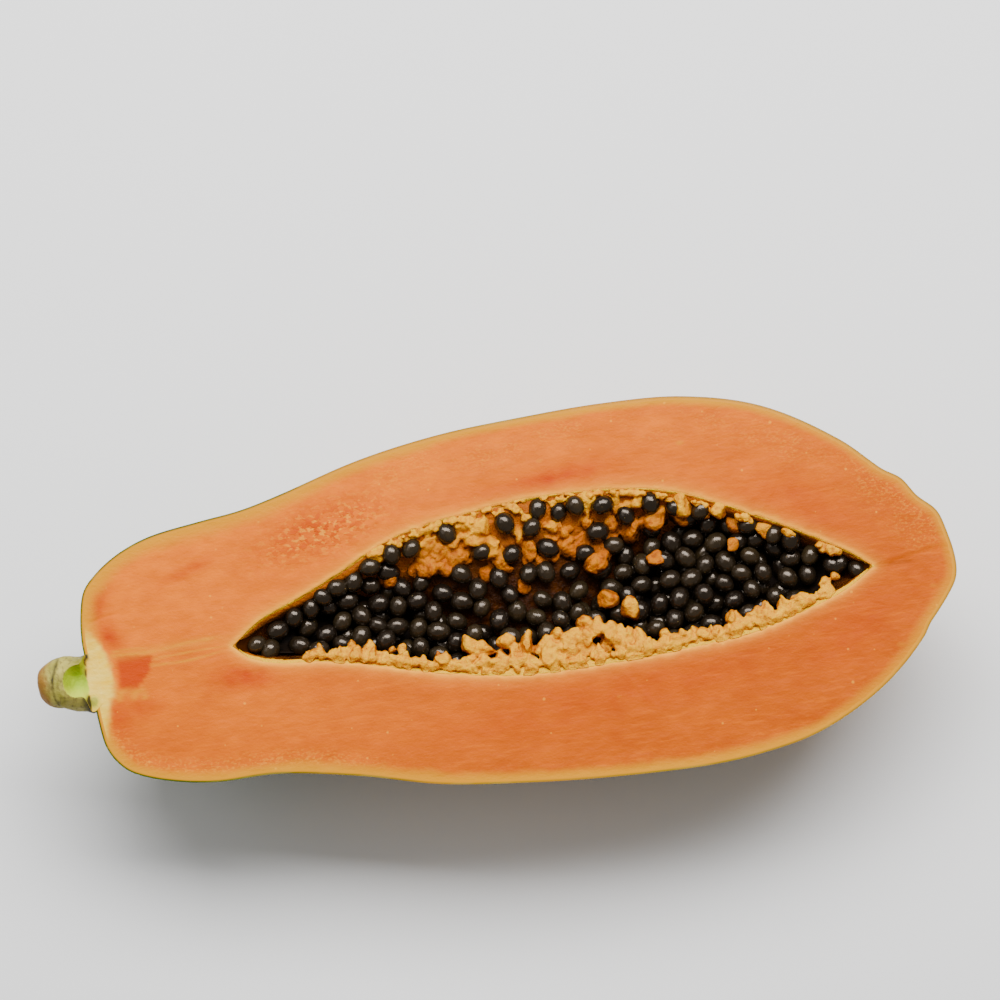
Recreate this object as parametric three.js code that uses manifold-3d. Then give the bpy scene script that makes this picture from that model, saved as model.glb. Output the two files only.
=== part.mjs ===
// A papaya cut in half lengthwise, lying on its skin with the cut face up.
// Millimetres, +Z up. The fruit is drawn in its own frame: x runs from the stem scar to the
// blossom end, y runs across the cut face, z = 0 is the cut face and the body hangs below it.
// The whole group is then lifted and centred, so the origin is the middle of the footprint.
import * as THREE from 'three';
import { mergeVertices } from 'three/addons/utils/BufferGeometryUtils.js';
import Module from 'manifold-3d';

const wasm = await Module();
wasm.setup();

// Cut outline: [x, y] from the stem end to the blossom end, along both edges
const FAR_EDGE = [[-3.6, 11.7], [-3.3, 17.8], [-1.9, 25.2], [2.3, 30.8], [10.7, 36.8], [20.2, 40.5],
  [35.5, 43.1], [47.8, 44.9], [60.3, 48.2], [85.4, 55.8], [110.2, 60.4], [134.8, 62.5], [159.4, 63.7],
  [183.7, 62.8], [207.2, 56.9], [229.6, 43.3], [240.3, 33.2], [246.2, 29.0], [250.0, 23.3],
  [255.6, 17.2], [257.5, 10.0], [258.5, 1.5]];
const NEAR_EDGE = [[-3.6, 11.7], [-3.2, 6.5], [-1.9, -5.0], [-1.1, -13.0], [0.2, -20.5], [4.0, -27.0],
  [8.9, -30.6], [21.0, -34.3], [32.7, -35.8], [50.5, -35.7], [73.9, -39.4], [97.0, -44.8],
  [120.4, -47.5], [144.0, -49.1], [173.7, -49.6], [191.9, -48.1], [210.4, -43.9], [229.9, -33.8],
  [245.6, -19.6], [248.4, -15.4], [254.6, -8.1], [257.9, -2.6], [258.5, 1.5]];
// Depth of the underside below the cut face, [x, depth]
const BODY_DEPTH = [[-3.6, 0], [-3.0, 13], [-1.2, 23], [4, 31], [14, 36.5], [36, 40], [60, 44],
  [90, 50.5], [110, 53.9], [128, 54.6], [148, 54.2], [168, 52.8], [186, 50], [208, 44.5], [228, 33.5],
  [245.5, 20], [248.5, 16.5], [254, 10.5], [257.6, 5], [258.5, 0]];
// Seed cavity on the cut face, pointed at both ends, and its depth
const CAVITY_FAR = [[41, 4.2], [49.9, 10.8], [62.6, 16.2], [75.3, 22.2], [88.2, 28.9], [100.7, 32.8],
  [125.4, 36.4], [143, 37.4], [161.8, 36.6], [173.6, 34.7], [185.2, 30.8], [207.9, 19.8],
  [227.4, 8.6], [233.4, 3.7]];
const CAVITY_NEAR = [[41, 4.2], [45.7, 0.1], [54.4, -2.5], [66.2, -3.7], [77.9, -5.9], [101.2, -11.6],
  [124.6, -15.3], [148.6, -15.3], [172.8, -13.9], [197.3, -11], [216.2, -5.3], [225.9, -1.3],
  [233.4, 3.7]];
const CAVITY_DEPTH = [[41, 0], [52, 8], [75, 17], [105, 24], [143, 27], [180, 24], [208, 16],
  [224, 8.5], [233.4, 0]];

const FLAT_TRIM = 0.35;          // how much of the belly the resting spot takes off
const SKIN_THICK = 1.0;
const LINING_THICK = 1.8;        // soft seed bed on the cavity wall
const GAP = 0.3;                 // clearance between touching pieces
const GROWN = 0.4;               // clearance left where one piece is cut by another
const LOBE = 0.012;              // height of the five soft ribs, as a share of the radius
const LOBE_AT_NOSE = 0.03;
const STATIONS = 30;             // sections along the fruit
const ARC_STEPS = 11;            // steps across each section

const SEED_LONG = 3.5;           // half length of a seed
const SEED_WIDE = 2.95;          // half width of a seed
const SEED_SIDES = 6;
const SEED_RINGS = 4;
const SEED_APART = 5.0;          // least distance between seed centres when they are strewn
const SEED_TOUCH = 6.2;          // distance that settling pushes neighbours apart to
const SETTLE_STEPS = 60;
const SEED_TRIES = 4200;
const SEED_LIFT = 1.1;           // how much a seed's height is strewn up and down
const SEED_TILT = 0.9;           // spread of the seeds' tilt, in radians
const SEED_SIZE = { least: 0.9, spread: 0.17 };
const WALL_SHARE = 0.8;          // a seed centre stays this share of its half width off the lining
const SHALLOW = 3.2;             // least depth that a seed finds at the cavity's thin ends
const BANK_SEEDS = { tries: 42, reach: 23, from: 1.5, spread: 1.7 };   // single seeds on the bank
const SUNK = 0.55;               // share of a seed's half width that it stands above the bank
const PUSH = 0.35;               // share of an overlap that one settling step takes up
const PULL = 0.08;               // share of its way back to its height that a seed takes in a step
const HEAP_TOP = 3.4;            // seed tops lie about this far under the cut face
const CORE_DOWN = 2.6;           // the packed seeds below the loose top ones start this far lower
const CORE_STEPS = 14;
const CORE_WIDE = 1.05;          // half width of the core, as a share of the cavity's
const CORE_BASE = 40;            // depth that it is drawn down to before the cavity cuts it
const HIDDEN_WITHIN = 0.6;       // a seed centre this near a lump's face is hidden in it
const FACET_MERGE = 0.15;        // facets smaller than this are merged after a join or a cut

// Smooth curve value at x through [x, y] points, by cubic Hermite pieces
function valueAt(points, x) {
  const last = points.length - 1;
  if (x <= points[0][0]) return points[0][1];
  if (x >= points[last][0]) return points[last][1];
  let i = 0;
  while (x > points[i + 1][0]) i += 1;
  const slope = (k) => {
    const a = points[Math.max(k - 1, 0)];
    const b = points[Math.min(k + 1, last)];
    return (b[1] - a[1]) / (b[0] - a[0]);
  };
  const [x0, y0] = points[i];
  const [x1, y1] = points[i + 1];
  const span = x1 - x0;
  const t = (x - x0) / span;
  const t2 = t * t;
  const t3 = t2 * t;
  return (2 * t3 - 3 * t2 + 1) * y0 + (t3 - 2 * t2 + t) * span * slope(i)
    + (3 * t2 - 2 * t3) * y1 + (t3 - t2) * span * slope(i + 1);
}

// The same points with x turned into the station parameter, 0 to 1, that crowds towards both ends
const BODY_START = FAR_EDGE[0][0];
const BODY_END = FAR_EDGE.at(-1)[0];
const BODY_LENGTH = BODY_END - BODY_START;
const stationOf = (x) => Math.acos(1 - 2 * (x - BODY_START) / BODY_LENGTH) / Math.PI;
const byStation = (points) => points.map(([x, y]) => [stationOf(x), y]);
const bodyFar = byStation(FAR_EDGE);
const bodyNear = byStation(NEAR_EDGE);
const bodyDepth = byStation(BODY_DEPTH);

// Point of the skin's outer face at station s and arc angle a, 0 at the far rim and pi at the near rim
function bodyPoint(s, a) {
  const x = BODY_START + BODY_LENGTH * (1 - Math.cos(Math.PI * s)) / 2;
  const far = valueAt(bodyFar, s);
  const near = valueAt(bodyNear, s);
  const rib = LOBE + (LOBE_AT_NOSE - LOBE) * s ** 4;
  const swell = 1 - rib * Math.sin(5 * a);
  const y = (far + near) / 2 + (far - near) / 2 * Math.cos(a) * swell;
  return new THREE.Vector3(x, y, -valueAt(bodyDepth, s) * Math.sin(a) * swell);
}

// The same face moved inwards by inset along its own normal, kept level along the rim
function insetBodyPoint(s, a, inset) {
  const e = 1e-3;
  const point = bodyPoint(s, a);
  const along = bodyPoint(Math.min(s + e, 1), a).sub(bodyPoint(Math.max(s - e, 0), a));
  const across = bodyPoint(s, a + e).sub(bodyPoint(s, a - e));
  const normal = across.cross(along);
  if (a === 0 || a === Math.PI) normal.z = 0;
  return point.addScaledVector(normal.normalize(), inset);
}

const tips = {
  body: (inset) => [[BODY_START + inset, FAR_EDGE[0][1]], [BODY_END - inset, FAR_EDGE.at(-1)[1]]],
  cavity: (inset) => [[CAVITY_FAR[0][0] + 3 * inset, CAVITY_FAR[0][1] + 0.4 * inset],
    [CAVITY_FAR.at(-1)[0] - 3 * inset, CAVITY_FAR.at(-1)[1]]],
};

// A bowl is a grid of points: one row for each station between its two tips, far rim to near rim
function bodyBowl(inset) {
  const rows = [];
  for (let i = 1; i < STATIONS; i += 1) {
    const row = [];
    for (let j = 0; j <= ARC_STEPS; j += 1) {
      row.push(insetBodyPoint(i / STATIONS, Math.PI * j / ARC_STEPS, inset));
    }
    rows.push(row);
  }
  return { tips: tips.body(inset).map(([x, y]) => new THREE.Vector3(x, y, 0)), rows };
}

// Half width, middle and depth of the cavity at x, drawn in by inset
function cavityAt(x, inset) {
  const far = valueAt(CAVITY_FAR, x);
  const near = valueAt(CAVITY_NEAR, x);
  return {
    middle: (far + near) / 2,
    half: (far - near) / 2 - inset,
    depth: valueAt(CAVITY_DEPTH, x) - inset,
  };
}

function cavityBowl(inset) {
  const [start, end] = tips.cavity(inset);
  const rows = [];
  for (let i = 1; i < STATIONS; i += 1) {
    const x = start[0] + (end[0] - start[0]) * i / STATIONS;
    const { middle, half, depth } = cavityAt(x, inset);
    const row = [];
    for (let j = 0; j <= ARC_STEPS; j += 1) {
      const a = Math.PI * j / ARC_STEPS;
      row.push(new THREE.Vector3(x, middle + half * Math.cos(a), j % ARC_STEPS ? -depth * Math.sin(a) : 0));
    }
    rows.push(row);
  }
  return { tips: [start, end].map(([x, y]) => new THREE.Vector3(x, y, 0)), rows };
}

// On the far side the seed bed is a soft bank that slopes from the rim down to the seeds
const BANK = { x: 130, long: 38, run: 2.8, start: 1.0, steep: 0.02 };
const bankSpread = (x) => Math.exp(-(((x - BANK.x) / BANK.long) ** 2));
const bankDepth = (x, across) => BANK.start + across / (BANK.run * bankSpread(x) + BANK.steep);

// The cavity inside its lining; grown is the clearance that is left over the lining
function linedBowl(grown) {
  const bowl = cavityBowl(LINING_THICK + grown);
  for (const row of bowl.rows) {
    for (const p of row) p.z = Math.max(p.z, grown - bankDepth(p.x, row[0].y - p.y));
  }
  return bowl;
}

// The rim of a bowl as one loop of points: out along the far rim and back along the near rim
function rimOf(bowl) {
  const far = bowl.rows.map((row) => row[0]);
  const near = bowl.rows.map((row) => row.at(-1)).reverse();
  return [bowl.tips[0], ...far, bowl.tips[1], ...near];
}

// Faces of a bowl, seen from outside or, when flipped, from inside
function bowlFaces(bowl, flipped) {
  const faces = [];
  const add = (a, b, c) => faces.push(flipped ? [a, b, c] : [a, c, b]);
  const { rows, tips: [first, last] } = bowl;
  for (let j = 0; j < ARC_STEPS; j += 1) {
    add(first, rows[0][j + 1], rows[0][j]);
    add(last, rows.at(-1)[j], rows.at(-1)[j + 1]);
    for (let i = 0; i + 1 < rows.length; i += 1) {
      add(rows[i][j], rows[i][j + 1], rows[i + 1][j + 1]);
      add(rows[i][j], rows[i + 1][j + 1], rows[i + 1][j]);
    }
  }
  return faces;
}

// Faces of the band between two loops of equally many points
function bandFaces(outer, inner) {
  const faces = [];
  outer.forEach((a, i) => {
    const k = (i + 1) % outer.length;
    faces.push([a, inner[k], outer[k]], [a, inner[i], inner[k]]);
  });
  return faces;
}

// A level lid over a rim loop
function lidFaces(loop) {
  const faces = [];
  const far = loop.slice(0, STATIONS + 1);
  const near = [loop[0], ...loop.slice(STATIONS + 1).reverse(), loop[STATIONS]];
  for (let i = 0; i < STATIONS; i += 1) {
    if (i + 1 < STATIONS) faces.push([near[i], near[i + 1], far[i + 1]]);
    if (i > 0) faces.push([near[i], far[i + 1], far[i]]);
  }
  return faces;
}

function geometryOf(faces) {
  const positions = new Float32Array(faces.flat().flatMap((p) => [p.x, p.y, p.z]));
  const geometry = new THREE.BufferGeometry();
  geometry.setAttribute('position', new THREE.BufferAttribute(positions, 3));
  return mergeVertices(geometry, 1e-5);
}

function solidOf(geometry) {
  const bare = geometry.clone();
  bare.deleteAttribute('normal');
  bare.deleteAttribute('uv');
  const merged = mergeVertices(bare, 1e-5);
  return new wasm.Manifold(new wasm.Mesh({
    numProp: 3,
    vertProperties: new Float32Array(merged.attributes.position.array),
    triVerts: new Uint32Array(merged.index.array),
  }));
}

// The largest body of a solid, as a geometry with crisp facets
function geometryOfLargest(solid) {
  const bodies = solid.simplify(FACET_MERGE).decompose();
  const largest = bodies.reduce((a, b) => (b.volume() > a.volume() ? b : a));
  const mesh = largest.getMesh();
  const geometry = new THREE.BufferGeometry();
  geometry.setAttribute('position', new THREE.BufferAttribute(mesh.vertProperties, mesh.numProp));
  geometry.setIndex(new THREE.BufferAttribute(mesh.triVerts, 1));
  return geometry;
}

// A shell between two bowls, closed along the cut face
const shell = (outer, inner) => solidOf(geometryOf([
  ...bowlFaces(outer, false), ...bowlFaces(inner, true), ...bandFaces(rimOf(outer), rimOf(inner)),
]));

// A bowl filled solid, with its wall carried straight up to height top
function filled(bowl, top) {
  const rim = rimOf(bowl);
  const raised = rim.map((p) => new THREE.Vector3(p.x, p.y, top));
  return solidOf(geometryOf([...bowlFaces(bowl, false), ...bandFaces(rim, raised), ...lidFaces(raised)]));
}

// Repeatable random numbers, 0 to 1
function randomFrom(seed) {
  let state = seed;
  return () => {
    state = (state + 0x6d2b79f5) | 0;
    let t = Math.imul(state ^ (state >>> 15), 1 | state);
    t = (t + Math.imul(t ^ (t >>> 7), 61 | t)) ^ t;
    return ((t ^ (t >>> 14)) >>> 0) / 4294967296;
  };
}

// Bell-shaped weight of a point around a middle
const bell = (x, y, at) => Math.exp(-(((x - at.x) / at.long) ** 2) - (((y - at.y) / at.wide) ** 2));

// The heap sinks away below the bank, and dips a little in its middle
const HOLLOW = { x: 130, y: 30, long: 38, wide: 20, deep: 7.5 };
const DIP = { x: 150, y: 8, long: 60, wide: 14, deep: 1.6 };
const heapDepth = (x, y) => HEAP_TOP + HOLLOW.deep * bell(x, y, HOLLOW) + DIP.deep * bell(x, y, DIP);

// How far a point lies inside the lined far edge, measured across the fruit
function fromFarEdge(x, y) {
  const { middle, half } = cavityAt(x, LINING_THICK);
  return Math.max(middle + half - y, 0);
}

// Height of a seed centre that rests on the bank
const onBank = (x, y) => SUNK * SEED_WIDE - bankDepth(x, fromFarEdge(x, y));

// Keeps a seed centre inside the lined cavity
function heldInCavity(p) {
  const { middle, half, depth } = cavityAt(p.x, LINING_THICK + WALL_SHARE * SEED_WIDE);
  const reach = Math.max(half, 0.2);
  p.y = Math.min(Math.max(p.y, middle - reach), middle + reach);
  const across = (p.y - middle) / reach;
  const floor = Math.max(depth, SHALLOW) * Math.sqrt(Math.max(0, 1 - WALL_SHARE * across * across));
  p.z = Math.max(p.z, -Math.max(floor, SEED_WIDE + 1), onBank(p.x, p.y));
}

// Seed centres: random points on the bank and over the heap, kept when no earlier seed is too near
function strewnSeeds() {
  const random = randomFrom(20);
  const [start, end] = tips.cavity(LINING_THICK + 0.6 * SEED_WIDE);
  const seeds = [];
  const keepIfClear = (x, y, z, onBankToo, apart) => {
    const turn = Math.PI * random();
    const tilt = SEED_TILT * (random() - 0.5);
    const size = SEED_SIZE.least + SEED_SIZE.spread * random();
    const place = { x, y, z };
    heldInCavity(place);
    const near = (s) => Math.hypot(s.x - place.x, s.y - place.y, s.z - place.z) < apart;
    if (!seeds.some(near)) seeds.push({ ...place, rest: place.z, turn, tilt, size, banked: onBankToo });
  };
  for (let k = 0; k < BANK_SEEDS.tries; k += 1) {
    const x = BANK.x + BANK.long * BANK_SEEDS.spread * (2 * random() - 1);
    const { middle, half } = cavityAt(x, LINING_THICK);
    const y = middle + half - BANK_SEEDS.from - BANK_SEEDS.reach * bankSpread(x) * random();
    keepIfClear(x, y, onBank(x, y), true, SEED_TOUCH);
  }
  for (let k = 0; k < SEED_TRIES; k += 1) {
    const x = start[0] + (end[0] - start[0]) * random();
    const across = 2 * random() - 1;
    const lift = 2 * random() - 1;
    const { middle, half } = cavityAt(x, LINING_THICK + WALL_SHARE * SEED_WIDE);
    const y = middle + Math.max(half, 0) * across;
    const z = -(heapDepth(x, y) + SEED_WIDE + SEED_LIFT * lift);
    if (z > onBank(x, y)) keepIfClear(x, y, z, false, SEED_APART);
  }
  return seeds;
}

// Settling: neighbours that crowd each other move apart step by step, and each keeps near its height
function settledSeeds() {
  const seeds = strewnSeeds();
  for (let step = 0; step < SETTLE_STEPS; step += 1) {
    const moves = seeds.map(() => [0, 0, 0]);
    for (let i = 0; i < seeds.length; i += 1) {
      for (let j = i + 1; j < seeds.length; j += 1) {
        const [a, b] = [seeds[i], seeds[j]];
        const [dx, dy, dz] = [b.x - a.x, b.y - a.y, b.z - a.z];
        const apart = Math.sqrt(dx * dx + dy * dy + dz * dz);
        const short = SEED_TOUCH * (a.size + b.size) / 2 - apart;
        if (short <= 0) continue;
        const push = PUSH * short / apart;
        [dx, dy, dz].forEach((d, axis) => {
          moves[i][axis] -= push * d;
          moves[j][axis] += push * d;
        });
      }
    }
    seeds.forEach((seed, i) => {
      seed.x += moves[i][0];
      seed.y += moves[i][1];
      seed.z += moves[i][2] + PULL * (seed.rest - seed.z);
      heldInCavity(seed);
    });
  }
  return seeds;
}

// A seed: an egg-round ball lying along x before it is turned, drawn larger by grown
function seedSolid({ x, y, z, turn, tilt, size }, grown) {
  const geometry = new THREE.SphereGeometry(1, SEED_SIDES, SEED_RINGS);
  geometry.rotateZ(Math.PI / 2);
  geometry.scale(size * SEED_LONG + grown, size * SEED_WIDE + grown, size * SEED_WIDE + grown);
  geometry.rotateY(tilt);
  geometry.rotateZ(turn);
  geometry.translate(x, y, z);
  return solidOf(geometry);
}

// Soft lumps of the seed bed: a crumbly row along the near rim, and clumps on the bank
const LUMP_ROWS = [
  { seed: 5, count: 27, from: 72, to: 224, bank: false, in: [0.5, 4.8], down: [1.2, 3.4], size: [2.1, 3.3] },
  { seed: 9, count: 24, from: 88, to: 204, bank: true, in: [1, 24], down: [-0.6, 0.8], size: [2.1, 3.8] },
];

function lumpPlaces() {
  const places = [];
  for (const row of LUMP_ROWS) {
    const random = randomFrom(row.seed);
    const between = ([low, high]) => low + (high - low) * random();
    for (let k = 0; k < row.count; k += 1) {
      const x = row.from + (row.to - row.from) * (k + random()) / row.count;
      const into = between(row.in) * (row.bank ? bankSpread(x) : 1);
      const down = between(row.down);
      const size = between(row.size);
      const { middle, half } = cavityAt(x, LINING_THICK);
      const y = row.bank ? middle + half - into : middle - half + into;
      const z = row.bank ? -bankDepth(x, into) - down : -down;
      places.push({ x, y, z: Math.min(z, 1 - size), size, turn: 6 * random() });
    }
  }
  return places;
}

// A lump: a twenty-faced ball pushed out of round, drawn larger by grown
function lumpSolid({ x, y, z, size, turn }, grown) {
  const geometry = new THREE.IcosahedronGeometry(1, 0);
  const r = size + grown;
  geometry.scale(1.15 * r, 0.95 * r, 1.05 * r);
  geometry.rotateZ(turn);
  geometry.rotateX(0.7 * turn);
  geometry.translate(x, y, z);
  return solidOf(geometry);
}

// The lining of the cavity with its bank, its lumps and the seeds held on the bank; grown makes the
// larger shape that cuts the heap clear of it
function seedBedSolid(grown) {
  const outer = cavityBowl(grown > 0 ? -1 : GAP);
  const banked = settledSeeds().filter((seed) => seed.banked);
  const raised = [
    ...lumpPlaces().map((lump) => lumpSolid(lump, grown)),
    ...banked.map((seed) => seedSolid(seed, grown)),
  ];
  return shell(outer, linedBowl(grown)).add(wasm.Manifold.union(raised).intersect(filled(outer, grown)));
}

// The packed seeds under the loose ones: a block whose top follows the heap, later cut to the cavity
function heapCore() {
  const [start, end] = tips.cavity(LINING_THICK);
  const columns = [-CORE_WIDE, -CORE_WIDE / 2, 0, CORE_WIDE / 2, CORE_WIDE];
  const top = [];
  for (let i = 0; i <= CORE_STEPS; i += 1) {
    const x = start[0] + (end[0] - start[0]) * i / CORE_STEPS;
    const { middle, half } = cavityAt(x, 0);
    top.push(columns.map((across) => {
      const y = middle + Math.max(half, 0.5) * across;
      return new THREE.Vector3(x, y, -heapDepth(x, y) - CORE_DOWN);
    }));
  }
  const bottom = top.map((row) => row.map((p) => new THREE.Vector3(p.x, p.y, -CORE_BASE)));
  const faces = [];
  const quad = (a, b, c, d) => faces.push([a, b, c], [a, c, d]);
  const last = columns.length - 1;
  for (let i = 0; i < CORE_STEPS; i += 1) {
    for (let j = 0; j < last; j += 1) {
      quad(top[i][j], top[i + 1][j], top[i + 1][j + 1], top[i][j + 1]);
      quad(bottom[i][j + 1], bottom[i + 1][j + 1], bottom[i + 1][j], bottom[i][j]);
    }
    quad(bottom[i][0], bottom[i + 1][0], top[i + 1][0], top[i][0]);
    quad(top[i][last], top[i + 1][last], bottom[i + 1][last], bottom[i][last]);
  }
  for (let j = 0; j < last; j += 1) {
    quad(bottom[0][j], top[0][j], top[0][j + 1], bottom[0][j + 1]);
    quad(bottom.at(-1)[j + 1], top.at(-1)[j + 1], top.at(-1)[j], bottom.at(-1)[j]);
  }
  return solidOf(geometryOf(faces));
}

// Loose seeds of the heap, without those that a lump hides
function looseSeeds() {
  const lumps = lumpPlaces();
  const hidden = (seed) => lumps.some((lump) => Math.hypot(lump.x - seed.x, lump.y - seed.y, lump.z - seed.z)
    < lump.size + HIDDEN_WITHIN);
  return settledSeeds().filter((seed) => !seed.banked && !hidden(seed));
}

function seedHeap() {
  const room = filled(linedBowl(GROWN), 0);
  const seeds = wasm.Manifold.union(looseSeeds().map((seed) => seedSolid(seed, 0)));
  return geometryOfLargest(seeds.add(heapCore()).intersect(room).subtract(seedBedSolid(GROWN)));
}

// Stem: rings along its axis, [x, y, z, half width, half height], from inside the shoulder to the tip
const STEM_RINGS = [[4, -1.2, -1.4, 9.4, 8.6], [-1.5, -1.1, -1.4, 9.2, 8.3], [-4.5, -1.0, -1.2, 8.5, 7.7],
  [-8, -0.9, -1.0, 8.3, 7.4], [-11.5, -0.6, -0.8, 7.6, 6.8], [-14.5, -0.3, -0.6, 6.4, 5.8],
  [-16.8, 0.0, -0.4, 4.4, 4.2], [-17.8, 0.0, -0.3, 2.0, 2.0]];
const STEM_SIDES = 14;
const CLEAR_ABOVE = 20;          // the fruit's outline is carried this high to cut the stem's root
const SLICE = { x: -9.5, z: 6.0, normal: [-0.3, -0.12, -0.95] };   // knife slice off the stem's upper side

function stemSolid() {
  const rings = STEM_RINGS.map(([x, y, z, wide, high]) => Array.from({ length: STEM_SIDES }, (_, k) => {
    const a = 2 * Math.PI * k / STEM_SIDES;
    const knot = 1 + 0.05 * Math.sin(3 * a + 0.5 * x);
    return new THREE.Vector3(x, y + wide * knot * Math.cos(a), z + high * knot * Math.sin(a));
  }));
  const faces = [];
  const [rx, ry, rz] = STEM_RINGS[0];
  const root = new THREE.Vector3(rx, ry, rz);
  const tip = new THREE.Vector3(STEM_RINGS.at(-1)[0] - 0.1, 0, STEM_RINGS.at(-1)[2]);
  for (let k = 0; k < STEM_SIDES; k += 1) {
    const n = (k + 1) % STEM_SIDES;
    faces.push([root, rings[0][k], rings[0][n]], [tip, rings.at(-1)[n], rings.at(-1)[k]]);
    for (let i = 0; i + 1 < rings.length; i += 1) {
      const [a, b, c, d] = [rings[i][k], rings[i + 1][k], rings[i + 1][n], rings[i][n]];
      faces.push([a, b, c], [a, c, d]);
    }
  }
  const shoulder = filled(bodyBowl(-GAP), CLEAR_ABOVE);
  const slice = new THREE.Vector3(...SLICE.normal).normalize();
  return solidOf(geometryOf(faces)).subtract(shoulder)
    .trimByPlane(slice.toArray(), slice.dot(new THREE.Vector3(SLICE.x, 0, SLICE.z)));
}

const BELLY = Math.max(...bodyBowl(0).rows.flat().map((p) => -p.z));
const REST_DEPTH = BELLY - FLAT_TRIM;

const skinSolid = () => shell(bodyBowl(0), bodyBowl(SKIN_THICK)).trimByPlane([0, 0, 1], -REST_DEPTH);
const fleshSolid = () => shell(bodyBowl(SKIN_THICK + GAP), cavityBowl(0));

const material = (color, roughness) => new THREE.MeshStandardMaterial({
  color, roughness, metalness: 0, flatShading: true,
});

function piece(name, geometry, look) {
  const mesh = new THREE.Mesh(geometry, look);
  mesh.name = name;
  return mesh;
}

const fruit = new THREE.Group();
fruit.add(
  piece('skin', geometryOfLargest(skinSolid()), material(0xa9a52b, 0.35)),
  piece('flesh', geometryOfLargest(fleshSolid()), material(0xff8a3c, 0.4)),
  piece('seed_bed', geometryOfLargest(seedBedSolid(0)), material(0xf7b45c, 0.6)),
  piece('seeds', seedHeap(), material(0x1d1814, 0.25)),
  piece('stem', geometryOfLargest(stemSolid()), material(0x8d9a55, 0.7)),
);

// Centre the footprint on the origin and stand the resting spot on z = 0
const box = new THREE.Box3().setFromObject(fruit);
fruit.position.set(-(box.min.x + box.max.x) / 2, -(box.min.y + box.max.y) / 2, -box.min.z);

const papayaHalf = new THREE.Group();
papayaHalf.add(fruit);

export default papayaHalf;
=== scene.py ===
"""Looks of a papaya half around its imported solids: one papaya cut lengthwise, lying on its skin.

Shapes are worked out in millimetres in the fruit's own frame: x runs from the stem scar to the blossom
end, y across the cut face and z = 0 is the cut face. placed() takes them to the row frame in metres.
"""
import itertools
import math

import bmesh
import bpy
import numpy as np
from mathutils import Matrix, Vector


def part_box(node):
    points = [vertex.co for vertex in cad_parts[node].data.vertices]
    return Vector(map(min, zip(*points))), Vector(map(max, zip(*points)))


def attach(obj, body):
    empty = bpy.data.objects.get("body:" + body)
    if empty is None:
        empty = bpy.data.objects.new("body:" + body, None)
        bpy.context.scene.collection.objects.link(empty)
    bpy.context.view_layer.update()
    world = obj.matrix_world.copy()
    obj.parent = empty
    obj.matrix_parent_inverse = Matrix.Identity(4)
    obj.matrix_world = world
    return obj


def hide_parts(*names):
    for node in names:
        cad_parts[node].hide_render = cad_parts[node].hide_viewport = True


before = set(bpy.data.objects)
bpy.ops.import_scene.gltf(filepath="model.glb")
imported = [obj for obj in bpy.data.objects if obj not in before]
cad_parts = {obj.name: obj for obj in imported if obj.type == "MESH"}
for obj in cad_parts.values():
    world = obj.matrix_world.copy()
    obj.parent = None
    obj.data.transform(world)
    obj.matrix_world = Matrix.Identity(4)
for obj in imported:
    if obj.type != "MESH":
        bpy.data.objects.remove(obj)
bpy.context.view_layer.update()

MM = 0.001

# Cut outline, [x, y] from the stem end to the blossom end along both edges, and depth of the underside
FAR_EDGE = [[-3.6, 11.7], [-3.3, 17.8], [-1.9, 25.2], [2.3, 30.8], [10.7, 36.8], [20.2, 40.5],
            [35.5, 43.1], [47.8, 44.9], [60.3, 48.2], [85.4, 55.8], [110.2, 60.4], [134.8, 62.5],
            [159.4, 63.7], [183.7, 62.8], [207.2, 56.9], [229.6, 43.3], [240.3, 33.2], [246.2, 29.0],
            [250.0, 23.3], [255.6, 17.2], [257.5, 10.0], [258.5, 1.5]]
NEAR_EDGE = [[-3.6, 11.7], [-3.2, 6.5], [-1.9, -5.0], [-1.1, -13.0], [0.2, -20.5], [4.0, -27.0],
             [8.9, -30.6], [21.0, -34.3], [32.7, -35.8], [50.5, -35.7], [73.9, -39.4], [97.0, -44.8],
             [120.4, -47.5], [144.0, -49.1], [173.7, -49.6], [191.9, -48.1], [210.4, -43.9],
             [229.9, -33.8], [245.6, -19.6], [248.4, -15.4], [254.6, -8.1], [257.9, -2.6], [258.5, 1.5]]
BODY_DEPTH = [[-3.6, 0], [-3.0, 13], [-1.2, 23], [4, 31], [14, 36.5], [36, 40], [60, 44], [90, 50.5],
              [110, 53.9], [128, 54.6], [148, 54.2], [168, 52.8], [186, 50], [208, 44.5], [228, 33.5],
              [245.5, 20], [248.5, 16.5], [254, 10.5], [257.6, 5], [258.5, 0]]
CAVITY_FAR = [[41, 4.2], [49.9, 10.8], [62.6, 16.2], [75.3, 22.2], [88.2, 28.9], [100.7, 32.8],
              [125.4, 36.4], [143, 37.4], [161.8, 36.6], [173.6, 34.7], [185.2, 30.8], [207.9, 19.8],
              [227.4, 8.6], [233.4, 3.7]]
CAVITY_NEAR = [[41, 4.2], [45.7, 0.1], [54.4, -2.5], [66.2, -3.7], [77.9, -5.9], [101.2, -11.6],
               [124.6, -15.3], [148.6, -15.3], [172.8, -13.9], [197.3, -11], [216.2, -5.3],
               [225.9, -1.3], [233.4, 3.7]]
CAVITY_DEPTH = [[41, 0], [52, 8], [75, 17], [105, 24], [143, 27], [180, 24], [208, 16], [224, 8.5],
                [233.4, 0]]
SKIN_OUT = 0.08
SKIN_THICK = 1.3
LINING_THICK = 1.8
LOBE = 0.012
LOBE_AT_NOSE = 0.03

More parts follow.
